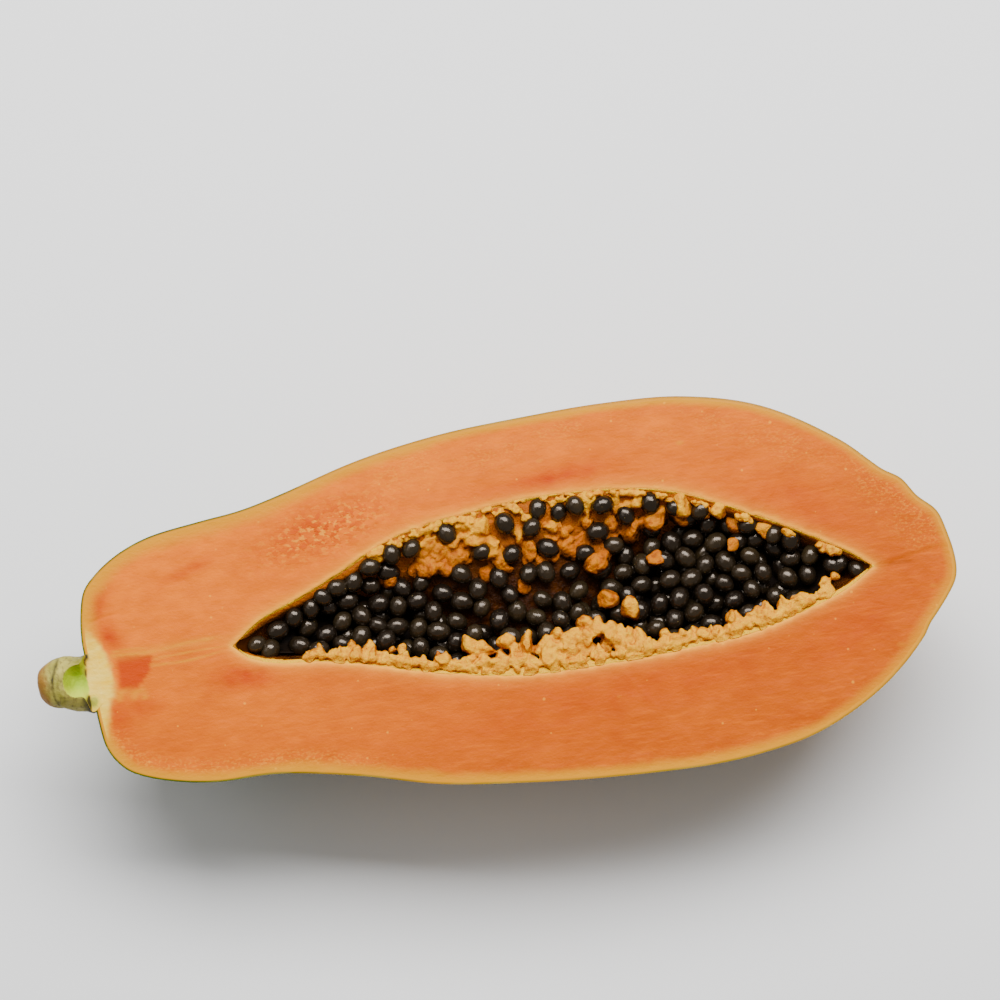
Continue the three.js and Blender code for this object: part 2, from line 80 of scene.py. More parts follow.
# Seeds
SEED_LONG = 3.5
SEED_WIDE = 2.95
SEED_APART = 5.0
SEED_TOUCH = 6.2
SETTLE_STEPS = 60
SEED_TRIES = 4200
SEED_LIFT = 1.1
SEED_TILT = 0.9
SEED_SIZE = (0.9, 0.17)
WALL_SHARE = 0.8
SHALLOW = 3.2
BANK_SEEDS = {"tries": 42, "reach": 23, "from": 1.5, "spread": 1.7}
# More seeds that the bank holds, only a look: tries, from and to across the bank, and distance apart
TUCKED_ROWS = [(260, 1.0, 3.6, 5.7), (40, 4.0, 12.0, 7.5), (420, 12.5, 30.0, 5.1)]
TUCKED_FROM = 84
TUCKED_TO = 206
TUCKED_TOP = -2.5
SUNK = 0.55
PUSH = 0.35
PULL = 0.08
HEAP_TOP = 3.4
HIDDEN_WITHIN = 0.6
# Starting values of the random draws: top layer, deeper layers, on the bank, beside it, and tones
TOP_DRAW = 20
DEEP_DRAW = 21
TUCKED_DRAW = 22
EDGE_DRAW = 23
TONE_DRAW = 3
SEED_SIDES = 10
SEED_RINGS = 6
# Last seeds against the far wall beside the bank, only a look: from and to along the fruit, and tries
EDGE_ROWS = [(50, 86, 90), (172, 224, 130)]
EDGE_IN = 3.25
EDGE_DOWN = 3.0
EDGE_APART = 4.7
# Deeper layers: depth under the top layer, and tries
DEEP_LAYERS = [(4.0, 2600), (7.4, 1600)]
DEEP_APART = 5.3
CORE_DOWN = 9.5

# Seed bed
BANK = {"x": 130, "long": 38, "run": 2.8, "start": 1.0, "steep": 0.02}
HOLLOW = {"x": 130, "y": 30, "long": 38, "wide": 20, "deep": 7.5}
DIP = {"x": 150, "y": 8, "long": 60, "wide": 14, "deep": 1.6}
LUMP_ROWS = [
    {"seed": 5, "count": 27, "from": 72, "to": 224, "bank": False,
     "in": (0.5, 4.8), "down": (1.2, 3.4), "size": (2.1, 3.3)},
    {"seed": 9, "count": 24, "from": 88, "to": 204, "bank": True,
     "in": (1, 24), "down": (-0.6, 0.8), "size": (2.1, 3.8)},
]
# Crumbs, only a look: smaller than the lumps and strewn among them
CRUMB_ROWS = [
    {"seed": 31, "count": 150, "from": 62, "to": 219, "bank": False, "wavy": True,
     "in": (-1.8, 2.6), "down": (0.2, 1.2), "size": (0.6, 2.1)},
    {"seed": 34, "count": 44, "from": 80, "to": 218, "bank": False, "wavy": True,
     "in": (0.5, 6.5), "down": (-0.2, 2.0), "size": (1.0, 2.3)},
    {"seed": 35, "count": 16, "from": 112, "to": 160, "bank": False,
     "in": (4.0, 9.0), "down": (0.4, 2.6), "size": (1.5, 2.7)},
    {"seed": 32, "count": 240, "from": 84, "to": 224, "bank": True,
     "in": (-2.4, 1.8), "down": (-0.5, 0.8), "size": (0.5, 1.3)},
    {"seed": 33, "count": 250, "from": 80, "to": 208, "bank": True,
     "in": (0.5, 18), "down": (0.0, 2.0), "size": (1.2, 3.0)},
]
LONE_LUMPS = [(151.1, 15.7, 3.3), (160.2, 0.4, 3.2), (153.8, 4.6, 2.7), (169.8, 14.8, 2.4),
              (145.9, -2.9, 2.9), (156, -8.2, 2.4), (193, 15.8, 2.0), (136.5, 17, 2.8),
              (153.2, 17.9, 2.4), (171, 27, 3.0), (67.8, 16.4, 1.2)]
TIP_SEEDS = [(48.0, 4.1, -2.9, 0.4), (229.0, 3.6, -3.6, 2.0), (224.5, 6.5, -4.6, 1.1)]
PIT_DRAW = 41
CHUNK_DRAW = 7
PIT_SIZE = 2.9
PIT_APART = 7.6
PIT_TRIES = 600
CRAG_PLANES = 7
CRAG_SOFT = 14.0
CRUMB_VOXEL = 0.33
# Past this x the crumbs of the far side lie in groups
BARE_FROM = 176

# Stem: rings along its axis, [x, y, z, half width, half height], and the knife slice on its upper side
STEM_RINGS = [[4, -1.2, -1.4, 9.4, 8.6], [-1.5, -1.1, -1.4, 9.2, 8.3], [-4.5, -1.0, -1.2, 8.5, 7.7],
              [-8, -0.9, -1.0, 8.3, 7.4], [-11.5, -0.6, -0.8, 7.6, 6.8], [-14.5, -0.3, -0.6, 6.4, 5.8],
              [-16.8, 0.0, -0.4, 4.4, 4.2], [-17.8, 0.0, -0.3, 2.0, 2.0]]
STEM_TOP = 6.15
STEM_ROOT = 2.4
STEM_ROUND = 0.4
STEM_NARROW = 0.3
SCOOP = {"x": -5.6, "y": -1.5, "low": 0.7, "long": 3.6, "wide": 5.0, "rise": 4.6}

# Camera: turn and height in degrees, distance in metres to the cut face, focal length in pixels of the
# 1000 pixel wide frame, and the point of the cut face at the middle of the frame
CAMERA_TURN = -7.4
CAMERA_HEIGHT = 78.0
CAMERA_AWAY = 1.0
FOCAL_PIXELS = 3330
FRAME_PIXELS = 1000
SENSOR_MM = 36
AIM = (125.56, 37.89)
NEAREST_SEEN = 0.05

# Lamps: turn to the left of straight behind and height in degrees, distance, width and height of the box
# in metres, and radiance
LAMPS = {"lamp_behind": (-14, 60, 1.2, 1.4, 0.6, 12.5), "lamp_left": (75, 50, 1.6, 0.9, 0.9, 1.0)}
WORLD_LIGHT = 0.25

# Floor: half its width and its drop under the fruit in metres
FLOOR_HALF = 3.0
FLOOR_DROP = 0.0002

# Marks on the cut face, places in the fruit's frame
ROOT_EDGE = [[-24, -0.6], [-19.2, 0.5], [-15.7, 1.6], [-9.4, 2.9], [-4.6, 4.8], [2.5, 4.2], [7.2, 3.1],
             [11.2, 1.0], [15.3, -1.8], [20, -4]]
STRANDS = [([[4.1, 5.7], [17.3, 5.6], [28.0, 6.8], [41, 7.6]], 0.7),
           ([[4.8, 6.9], [12, 7.1], [17, 6.4]], 0.3),
           ([[15.5, 1.4], [27.4, 1.5], [40, 3.4]], 0.35),
           ([[17, 3.2], [30, 4.1], [41, 4.4]], 0.3),
           ([[4.4, -5.6], [9, -5.8], [15.6, -6.2]], 1.0),
           ([[4.2, -7.3], [9, -7.5], [16.0, -8.0]], 0.5)]
# Redder patches: x, y, half length, half width, slope and strength
WARM_PATCHES = [(2.2, 21.5, 3.4, 5.0, 1.2, 0.8), (4.6, 12.2, 3.2, 4.4, -0.5, 0.9),
                (5.5, -12.5, 3.6, 5.6, 0.0, 0.75), (11, -10.5, 7.0, 3.0, -0.1, 0.5),
                (43, -5.4, 8.0, 2.8, -0.08, 0.85), (31, 29, 8, 1.8, 0.33, 0.55),
                (140, 42.2, 15, 2.6, 0.12, 0.85), (68, 37, 17, 6.5, 0.3, 0.35), (160, -24, 42, 6, 0.05, 0.3),
                (214, 26, 16, 7, -0.5, 0.3), (226, -14, 16, 8, 0.4, 0.35), (120, -30, 30, 5, -0.05, 0.25)]
CREASE = [[-1.7, 15.8], [2.6, 17.4], [8.6, 18.4]]
SEAM_FAR = {"x": 208, "y": 32, "lean": 0.62}
SEAM_NEAR = {"x": 158, "y": -22, "lean": -0.7}


def curve_at(points, x):
    """Smooth curve through [x, y] points: cubic Hermite pieces with slopes from the neighbours."""
    px, py = np.array(points, float).T
    last = len(px) - 1
    before = np.maximum(np.arange(last + 1) - 1, 0)
    after = np.minimum(np.arange(last + 1) + 1, last)
    slope = (py[after] - py[before]) / (px[after] - px[before])
    x = np.clip(x, px[0], px[-1])
    i = np.clip(np.searchsorted(px, x, side="right") - 1, 0, last - 1)
    span = px[i + 1] - px[i]
    t = (x - px[i]) / span
    return ((2 * t**3 - 3 * t**2 + 1) * py[i] + (t**3 - 2 * t**2 + t) * span * slope[i]
            + (3 * t**2 - 2 * t**3) * py[i + 1] + (t**3 - t**2) * span * slope[i + 1])


def smooth(low, high, x):
    """0 below low, 1 above high, and 3t^2 - 2t^3 between."""
    t = np.clip((x - low) / (high - low), 0, 1)
    return t * t * (3 - 2 * t)


def hill(x, middle, width):
    """Bell curve exp(-((x - middle) / width)^2)."""
    return np.exp(-(((x - middle) / width) ** 2))


BODY_START = FAR_EDGE[0][0]
BODY_END = FAR_EDGE[-1][0]
BODY_LENGTH = BODY_END - BODY_START


def by_station(points):
    """The same points with x turned into the station 0 to 1, acos(1 - 2 share) / pi."""
    return [[math.acos(1 - 2 * (x - BODY_START) / BODY_LENGTH) / math.pi, y] for x, y in points]


BODY_FAR = by_station(FAR_EDGE)
BODY_NEAR = by_station(NEAR_EDGE)
BODY_DEEP = by_station(BODY_DEPTH)


def body_surface(s, a):
    """Skin at station s and arc angle a: a half ellipse across, whose radius is swelled by
    1 - rib sin 5a; x = start + length (1 - cos pi s) / 2."""
    x = BODY_START + BODY_LENGTH * (1 - np.cos(np.pi * s)) / 2
    far = curve_at(BODY_FAR, s)
    near = curve_at(BODY_NEAR, s)
    swell = 1 - (LOBE + (LOBE_AT_NOSE - LOBE) * s**4) * np.sin(5 * a)
    y = (far + near) / 2 + (far - near) / 2 * np.cos(a) * swell
    return np.stack(np.broadcast_arrays(x, y, -curve_at(BODY_DEEP, s) * np.sin(a) * swell), -1)


def inset_body(s, a, inset):
    """The skin moved in by inset along its normal, the cross product of the steps across and along;
    level on the cut face."""
    e = 1e-3
    along = body_surface(np.minimum(s + e, 1), a) - body_surface(np.maximum(s - e, 0), a)
    across = body_surface(s, a + e) - body_surface(s, a - e)
    normal = np.cross(across, along)
    rim = np.sin(a) < 1e-9
    normal[..., 2] = np.where(np.broadcast_to(rim, normal.shape[:-1]), 0, normal[..., 2])
    size = np.linalg.norm(normal, axis=-1, keepdims=True)
    point = body_surface(s, a)
    point[..., 2] = np.where(np.broadcast_to(rim, point.shape[:-1]), 0, point[..., 2])
    return point + np.asarray(inset)[..., None] * normal / np.maximum(size, 1e-12)


def body_grid(stations, arcs, inset):
    """Grid of the skin moved in by inset, tips included as rows of one point."""
    s = np.linspace(0, 1, stations + 1)
    a = np.linspace(0, np.pi, arcs + 1)
    a[-1] = np.pi
    grid = inset_body(s[1:-1, None], a[None, :], inset)
    first = np.tile([BODY_START + inset, FAR_EDGE[0][1], 0], (1, arcs + 1, 1))
    last = np.tile([BODY_END - inset, FAR_EDGE[-1][1], 0], (1, arcs + 1, 1))
    return np.concatenate([first, grid, last])


def cavity_at(x, inset):
    """Middle, half width and depth of the seed cavity at x, drawn in by inset."""
    far = curve_at(CAVITY_FAR, x)
    near = curve_at(CAVITY_NEAR, x)
    return (far + near) / 2, (far - near) / 2 - inset, curve_at(CAVITY_DEPTH, x) - inset


def cavity_tips(inset):
    """x of the cavity's two pointed ends, which move in by three insets."""
    return CAVITY_FAR[0][0] + 3 * inset, CAVITY_FAR[-1][0] - 3 * inset


def cavity_grid(stations, arcs, inset):
    """Grid of the cavity's wall: half ellipses across, with stations crowded towards both tips."""
    start, end = cavity_tips(inset)
    s = np.linspace(0, 1, stations + 1)[:, None]
    a = np.linspace(0, np.pi, arcs + 1)[None, :]
    x = start + (end - start) * (1 - np.cos(np.pi * s)) / 2
    middle, half, depth = cavity_at(x, inset)
    half = np.maximum(half, 0) * np.ones_like(a)
    depth = np.maximum(depth, 0)
    grid = np.stack(np.broadcast_arrays(x, middle + half * np.cos(a), -depth * np.sin(a)), -1).copy()
    grid[0, :] = [start, CAVITY_FAR[0][1] + 0.4 * inset, 0]
    grid[-1, :] = [end, CAVITY_FAR[-1][1], 0]
    grid[:, [0, -1], 2] = 0
    return grid


def bank_spread(x):
    """Bell curve of the bank's width along the fruit."""
    return hill(x, BANK["x"], BANK["long"])


def band_width(x):
    """Share of the full width that the pulp along the near rim has at x: two broad swells."""
    return 0.25 + 0.9 * hill(x, 138, 24) + 0.6 * hill(x, 197, 13)


def bank_depth(x, across):
    """Depth of the bank at a distance across from the far edge: a straight slope, steeper at its ends."""
    return BANK["start"] + across / (BANK["run"] * bank_spread(x) + BANK["steep"])


def bell(x, y, at):
    """Bell-shaped weight exp(-u^2 - v^2) round a middle."""
    return np.exp(-(((x - at["x"]) / at["long"]) ** 2) - (((y - at["y"]) / at["wide"]) ** 2))


def heap_depth(x, y):
    """Depth of the top of the seeds: level, less a hollow below the bank and a dip in the middle."""
    return HEAP_TOP + HOLLOW["deep"] * bell(x, y, HOLLOW) + DIP["deep"] * bell(x, y, DIP)


def from_far_edge(x, y):
    """Distance across the fruit from the lined far edge."""
    middle, half, _ = cavity_at(x, LINING_THICK)
    return np.maximum(middle + half - y, 0)


def on_bank(x, y):
    """Height of a seed centre that rests on the bank."""
    return SUNK * SEED_WIDE - bank_depth(x, from_far_edge(x, y))


# Where the row frame has the cut face and the stem end
skin_low, skin_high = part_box("skin")
outline = body_grid(400, 1, 0.0)
OUTLINE_MIDDLE = (outline[..., 1].max() + outline[..., 1].min()) / 2
SHIFT = np.array([skin_low.x - BODY_START * MM,
                  (skin_low.y + skin_high.y) / 2 - OUTLINE_MIDDLE * MM, skin_high.z])


def placed(points):
    """Points of the fruit frame, in millimetres, as points of the row frame, in metres."""
    return np.asarray(points, float) * MM + SHIFT


def random_from(seed):
    """Repeatable random numbers, 0 to 1, by 32-bit mixing of a counter."""
    state = seed

    def draw():
        nonlocal state
        state = (state + 0x6D2B79F5) & 0xFFFFFFFF
        t = ((state ^ (state >> 15)) * (1 | state)) & 0xFFFFFFFF
        t = ((t + (((t ^ (t >> 7)) * (61 | t)) & 0xFFFFFFFF)) & 0xFFFFFFFF) ^ t
        return ((t ^ (t >> 14)) & 0xFFFFFFFF) / 4294967296

    return draw


def between(low, high, draw):
    """A random value between two limits."""
    return low + (high - low) * draw()


def drawn_pose(draw):
    """Turn, tilt and size of a seed, drawn in that order."""
    turn = math.pi * draw()
    tilt = SEED_TILT * (draw() - 0.5)
    size = SEED_SIZE[0] + SEED_SIZE[1] * draw()
    return turn, tilt, size


def crowded(places, spot, apart):
    """True where any of the places is nearer to the spot than apart."""
    return (np.linalg.norm(places - spot, axis=1) < apart).any()


def lattice_noise(points, size, seed=0):
    """Smooth noise, -1 to 1: mixed values at the corners of cubes of that size, blended by smoothstep."""
    p = np.asarray(points, float) / size + seed * 17.31
    cell = np.floor(p).astype(np.int64)
    t = p - cell
    t = t * t * (3 - 2 * t)
    total = 0.0
    for corner in itertools.product((0, 1), repeat=3):
        c = (cell + np.array(corner)) & 0xFFFF
        h = (c[..., 0] * 374761393 + c[..., 1] * 668265263 + c[..., 2] * 1440662683) & 0xFFFFFFFF
        h = ((h ^ (h >> 13)) * 1274126177) & 0xFFFFFFFF
        value = ((h ^ (h >> 16)) & 0xFFFFFF) / 0x7FFFFF - 1
        weight = np.prod(np.where(np.array(corner) == 1, t, 1 - t), axis=-1)
        total = total + weight * value
    return total


def layered_noise(points, size, seed=0, layers=3):
    """Sum of lattice noise at sizes halved each time, with shares halved each time."""
    total, share = 0.0, 1.0
    for layer in range(layers):
        total = total + share * lattice_noise(points, size / 2**layer, seed + layer)
        share /= 2
    return total / (2 - 2 * share)


def grid_faces(rows, columns, base=0, turned=False, ring=False):
    """Quads of a grid of points stored row by row; ring joins the last column to the first."""
    wide = columns if ring else columns - 1
    i, j = np.meshgrid(np.arange(rows - 1), np.arange(wide), indexing="ij")
    n = (j + 1) % columns
    a, b, c, d = i * columns + j, i * columns + n, (i + 1) * columns + n, (i + 1) * columns + j
    faces = np.stack([a, b, c, d], -1).reshape(-1, 4) + base
    return faces[:, ::-1] if turned else faces


def strip(first, second, share):
    """Grid of straight lines from each point of one line to its partner on another, cut at the shares."""
    share = share[None, :, None]
    return first[:, None] * (1 - share) + second[:, None] * share


def joined_grids(parts):
    """Points and faces of several grids, each given with whether its faces are turned round."""
    points, faces, base = [], [], 0
    for grid, turned in parts:
        rows, columns = grid.shape[:2]
        points.append(grid.reshape(-1, 3))
        faces.append(grid_faces(rows, columns, base, turned))
        base += rows * columns
    return np.concatenate(points), np.concatenate(faces)


def faces_as_lists(faces):
    """Faces of different lengths as one array of lists."""
    held = np.empty(len(faces), object)
    held[:] = faces
    return held


def capped_faces(rows, columns):
    """Faces of closed rings stored row by row, with the first and the last ring filled."""
    faces = grid_faces(rows, columns, ring=True).tolist()
    faces.append(list(range(columns)))
    faces.append(list(range((rows - 1) * columns, rows * columns)))
    return faces_as_lists(faces)


def make_piece(name, points, faces, material, nodes, sharp=None, weld=True, values=None):
    """One mesh piece from points in the row frame and faces, welded, facing out, riding on the root."""
    mesh = bpy.data.meshes.new(name)
    mesh.from_pydata(np.asarray(points).tolist(), [], np.asarray(faces).tolist())
    for key, value in (values or {}).items():
        mesh.attributes.new(key, "FLOAT", "POINT").data.foreach_set("value", value.astype(np.float32))
    if weld:
        work = bmesh.new()
        work.from_mesh(mesh)
        bmesh.ops.remove_doubles(work, verts=work.verts, dist=2e-7)
        bmesh.ops.dissolve_degenerate(work, edges=work.edges, dist=1e-8)
        bmesh.ops.recalc_face_normals(work, faces=work.faces)
        work.to_mesh(mesh)
        work.free()
    mesh.shade_smooth()
    if sharp is not None:
        mesh.set_sharp_from_angle(angle=math.radians(sharp))
    mesh.materials.append(material)
    piece = bpy.data.objects.new(name, mesh)
    bpy.context.scene.collection.objects.link(piece)
    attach(piece, "root")
    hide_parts(*nodes)
    return piece


# Materials


def add(tree, kind, inputs=None, **settings):
    """Adds a node, sets its properties, and joins or sets its inputs by name or number."""
    node = tree.nodes.new(kind)
    for key, value in settings.items():
        setattr(node, key, value)
    for key, value in (inputs or {}).items():
        socket = node.inputs[key]
        if isinstance(value, bpy.types.NodeSocket):
            tree.links.new(value, socket)
        else:
            socket.default_value = value
    return node


def worked(tree, operation, a, b, clamp=False):
    """Output of a math node on two values."""
    return add(tree, "ShaderNodeMath", {0: a, 1: b}, operation=operation, use_clamp=clamp).outputs[0]


def new_group(name, inputs, outputs):
    """An empty node group with float inputs and outputs; returns its tree, input node and output node."""
    tree = bpy.data.node_groups.new(name, "ShaderNodeTree")
    for label, value in inputs:
        socket = tree.interface.new_socket(label, in_out="INPUT", socket_type="NodeSocketFloat")
        socket.default_value = value
    for label in outputs:
        tree.interface.new_socket(label, in_out="OUTPUT", socket_type="NodeSocketFloat")
    return tree, tree.nodes.new("NodeGroupInput"), tree.nodes.new("NodeGroupOutput")


def fruit_coordinates(tree, size, stretch):
    """Object coordinates divided by size, and by stretch too along the fruit."""
    place = add(tree, "ShaderNodeTexCoord").outputs["Object"]
    over = worked(tree, "DIVIDE", 1.0, size)
    along = worked(tree, "DIVIDE", over, stretch)
    scale = add(tree, "ShaderNodeCombineXYZ", {"X": along, "Y": over, "Z": over}).outputs[0]
    return add(tree, "ShaderNodeVectorMath", {0: place, 1: scale}, operation="MULTIPLY").outputs[0]


def mottle_group():
    """Soft patches of a given size in metres: fractal noise with a chosen contrast, 0 to 1."""
    tree, given, out = new_group(
        "mottle", [("Size", 0.01), ("Stretch", 1.0), ("Contrast", 2.0), ("Seed", 0.0)], ["Mask"])
    where = fruit_coordinates(tree, given.outputs["Size"], given.outputs["Stretch"])
    noise = add(tree, "ShaderNodeTexNoise", {"Vector": where, "W": given.outputs["Seed"], "Scale": 1.0,
                                             "Detail": 4.0, "Roughness": 0.55}, noise_dimensions="4D")
    low = worked(tree, "SUBTRACT", noise.outputs[0], 0.5)
    wide = worked(tree, "MULTIPLY", low, given.outputs["Contrast"])
    tree.links.new(worked(tree, "ADD", wide, 0.5, clamp=True), out.inputs["Mask"])
    return tree


SPECK_SHARPNESS = 14.0


def speck_group():
    """Round specks: cells of a given size, of which a share holds a spot that fades at its edge."""
    tree, given, out = new_group(
        "specks", [("Size", 0.004), ("Stretch", 1.0), ("Share", 0.3), ("Radius", 0.15)], ["Mask"])
    where = fruit_coordinates(tree, given.outputs["Size"], given.outputs["Stretch"])
    cells = add(tree, "ShaderNodeTexVoronoi", {"Vector": where, "Scale": 1.0, "Randomness": 1.0})
    chosen = add(tree, "ShaderNodeSeparateColor", {"Color": cells.outputs["Color"]})
    kept = worked(tree, "LESS_THAN", chosen.outputs[0], given.outputs["Share"])
    grown = worked(tree, "MULTIPLY", given.outputs["Radius"], chosen.outputs[1])
    near = worked(tree, "SUBTRACT", grown, cells.outputs["Distance"])
    edge = worked(tree, "MULTIPLY", near, SPECK_SHARPNESS, clamp=True)
    tree.links.new(worked(tree, "MULTIPLY", edge, kept), out.inputs["Mask"])
    return tree


MOTTLE = mottle_group()
SPECKS = speck_group()


# Colours, as linear shares of red, green and blue light
FLESH_PALE = (0.82, 0.178, 0.0002, 1)
FLESH_MID = (0.63, 0.118, 0.0001, 1)
FLESH_DEEP = (0.48, 0.078, 0.0001, 1)
FLESH_RED = (0.5, 0.045, 0.0001, 1)
FLESH_CREAM = (0.95, 0.39, 0.02, 1)
FLESH_YELLOW = (0.72, 0.27, 0.0003, 1)
RIND_YELLOW = (0.66, 0.26, 0.0001, 1)
ROOT_CREAM = (0.92, 0.64, 0.1, 1)
ROOT_YELLOW = (0.85, 0.5, 0.02, 1)
# The next colour: pale cream for random patches and for painted light on crests and upward faces
PULP_CREAM_AND_LIT = (0.95, 0.47, 0.002, 1)
PULP_MID = (0.74, 0.26, 0.0002, 1)
# The next two: a darker orange for random patches and for painted shade, and a near black brown that is
# painted shade only
PULP_ORANGE_AND_SHADE = (0.46, 0.11, 0.0002, 1)
PULP_SHADE_BROWN = (0.035, 0.008, 0.0003, 1)
SEED_BLACK = (0.008, 0.005, 0.003, 1)
# The next colour: a random olive tone of some seeds, and also a painted glow on their near side
SEED_OLIVE = (0.034, 0.022, 0.009, 1)
SKIN_YELLOW = (0.42, 0.165, 0.0002, 1)
SKIN_LIME = (0.28, 0.165, 0.0005, 1)
SKIN_GREEN = (0.07, 0.105, 0.0005, 1)
SKIN_DARK = (0.02, 0.036, 0.001, 1)
SKIN_SPECK = (0.016, 0.014, 0.002, 1)
SKIN_SCAR = (0.5, 0.34, 0.06, 1)
SEED_FLECK = (0.3, 0.2, 0.06, 1)
SEED_GLOSS = (1.0, 0.84, 0.7, 1)
# The next two: painted shade, near black and brown, for the body that stands for the dark gaps in the seed
# heap
GAP_SHADE_BLACK = (0.003, 0.002, 0.0015, 1)
GAP_SHADE_BROWN = (0.012, 0.006, 0.003, 1)
STEM_PALE = (0.5, 0.42, 0.09, 1)
STEM_GREEN = (0.22, 0.2, 0.025, 1)
STEM_SCAR = (0.12, 0.08, 0.03, 1)
STEM_BROWN = (0.3, 0.13, 0.02, 1)
STEM_DARK = (0.04, 0.032, 0.014, 1)
SLICE_GREEN = (0.24, 0.38, 0.003, 1)
SLICE_LIME = (0.42, 0.55, 0.006, 1)
SLICE_PALE = (0.6, 0.68, 0.05, 1)
FLOOR_WHITE = (0.95, 0.95, 0.95, 1)


class Finish:
    """A material under construction, with short ways to add patches, attributes and mixes."""

    def __init__(self, name):
        self.material = bpy.data.materials.new(name)
        self.material.use_nodes = True
        self.tree = self.material.node_tree
        self.shader = self.tree.nodes["Principled BSDF"]

    def masked_by(self, group, size_mm, **values):
        """Mask of a node group at a size, with its other values set."""
        node = add(self.tree, "ShaderNodeGroup", {"Size": size_mm * MM, **values}, node_tree=group)
        return node.outputs["Mask"]

    def mottle(self, size_mm, contrast=2.0, seed=0.0, stretch=1.0):
        """Mask of soft patches."""
        return self.masked_by(MOTTLE, size_mm, Contrast=contrast, Seed=seed, Stretch=stretch)

    def specks(self, size_mm, share, radius, stretch=1.0):
        """Mask of round specks."""
        return self.masked_by(SPECKS, size_mm, Share=share, Radius=radius, Stretch=stretch)

    def value(self, name):
        """A value stored on the piece's points."""
        return add(self.tree, "ShaderNodeAttribute", attribute_name=name).outputs["Fac"]

    def times(self, a, b):
        """Product of two values."""
        return worked(self.tree, "MULTIPLY", a, b)

    def plus(self, a, b):
        """Sum of two values."""
        return worked(self.tree, "ADD", a, b)

    def range(self, value, low, high, to_low=0.0, to_high=1.0):
        """Value taken from one range to another, held at its ends."""
        return add(self.tree, "ShaderNodeMapRange", {"Value": value, "From Min": low, "From Max": high,
                                                     "To Min": to_low, "To Max": to_high}).outputs[0]

    def mix(self, share, a, b):
        """Colour a turning into colour b as share goes from 0 to 1."""
        node = add(self.tree, "ShaderNodeMix", {"Factor": share}, data_type="RGBA")
        for socket, colour in ((node.inputs[6], a), (node.inputs[7], b)):
            if isinstance(colour, bpy.types.NodeSocket):
                self.tree.links.new(colour, socket)
            else:
                socket.default_value = colour
        return node.outputs[2]

    def root_fibre(self):
        """Cream fibres of the fruit's root, which flesh and stem share."""
        return self.mix(self.mottle(1.6, 3.0, 9.0, 3.0), ROOT_CREAM, ROOT_YELLOW)

    def bump(self, height, strength, distance_mm, below=None):
        """Normal from a height mask."""
        inputs = {"Height": height, "Strength": strength, "Distance": distance_mm * MM}
        if below is not None:
            inputs["Normal"] = below
        return add(self.tree, "ShaderNodeBump", inputs).outputs[0]

    def finish(self, colour, roughness, normal=None, **others):
        """Joins colour, roughness, normal and any other mask to the shader, and sets its constant
        sockets."""
        given = {"Base Color": colour, "Roughness": roughness, "Normal": normal, **others}
        for key, value in given.items():
            socket = self.shader.inputs[key.replace("_", " ")]
            if isinstance(value, bpy.types.NodeSocket):
                self.tree.links.new(value, socket)
            elif value is not None:
                socket.default_value = value
        return self.material


def flesh_finish():
    """Moist cut flesh: pale salmon to strong orange, paler to the stem end and far side partly as painted
    light, with streaks, spots, redder patches, squiggles and threads, yellow strands and rind, cream root
    and flecks, pale specks by the rim that are partly painted wet glints, and painted shade, dark brown, on
    the wall inside the cavity."""
    f = Finish("flesh")
    # The deep mask runs pale to deep orange; its paler far side and stem end are partly the flesh's own tone
    # and partly painted light
    share = f.plus(f.value("deep"), f.range(f.mottle(20, 2.0, 1.0, 1.3), 0, 1, -0.25, 0.25))
    colour = f.mix(f.range(share, 0, 0.5), FLESH_PALE, FLESH_MID)
    colour = f.mix(f.range(share, 0.5, 1), colour, FLESH_DEEP)
    colour = f.mix(f.times(f.mottle(7, 3.0, 2.0, 1.4), 0.3), colour, FLESH_PALE)
    colour = f.mix(f.times(f.mottle(4, 3.4, 3.0, 1.6), 0.35), colour, FLESH_DEEP)
    streak = f.range(f.mottle(1.0, 3.0, 13.0, 8.0), 0.62, 1.0, 0, 0.3)
    colour = f.mix(streak, colour, FLESH_PALE)
    spot = f.times(f.specks(9.0, 0.3, 0.2, 1.6), 0.45)
    colour = f.mix(spot, colour, FLESH_YELLOW)
    colour = f.mix(f.value("warm"), colour, FLESH_RED)
    squiggle = f.range(f.mottle(2.0, 7.0, 4.0), 0.4, 0.9)
    colour = f.mix(f.times(f.value("fuzz"), f.times(squiggle, 0.75)), colour, FLESH_RED)
    thread = f.range(f.mottle(1.3, 6.0, 5.0, 1.6), 0.75, 1.0)
    colour = f.mix(f.times(f.value("fuzz"), f.times(thread, 0.6)), colour, FLESH_CREAM)
    colour = f.mix(f.value("strands"), colour, FLESH_YELLOW)
    colour = f.mix(f.value("core"), colour, FLESH_CREAM)
    colour = f.mix(f.value("rind"), colour, RIND_YELLOW)
    colour = f.mix(f.value("root"), colour, f.root_fibre())
    # Pale cream specks by the rim, partly the flesh's own flecks and partly painted wet glints
    specks_and_glints = f.range(f.mottle(0.6, 5.0, 10.0, 1.6), 0.5, 1.0, 0, 0.3)
    colour = f.mix(f.times(f.value("specks_and_glints"), specks_and_glints), colour, FLESH_CREAM)
    fleck = f.specks(3.4, 0.4, 0.17)
    colour = f.mix(f.times(fleck, 0.5), colour, FLESH_CREAM)
    # Painted shade: the cavity's wall under the cut face is coloured near black brown
    colour = f.mix(f.value("wall"), colour, PULP_SHADE_BROWN)
    grain = f.mottle(0.7, 2.0, 6.0)
    wave = f.mottle(4.0, 2.0, 7.0, 2.0)
    normal = f.bump(wave, 0.6, 0.5)
    normal = f.bump(grain, 0.4, 0.14, normal)
    normal = f.bump(f.times(f.value("fuzz"), squiggle), 0.5, 0.3, normal)
    roughness = f.range(f.mottle(5.0, 2.0, 8.0), 0, 1, 0.3, 0.45)
    return f.finish(colour, roughness, normal, Specular_IOR_Level=0.03)


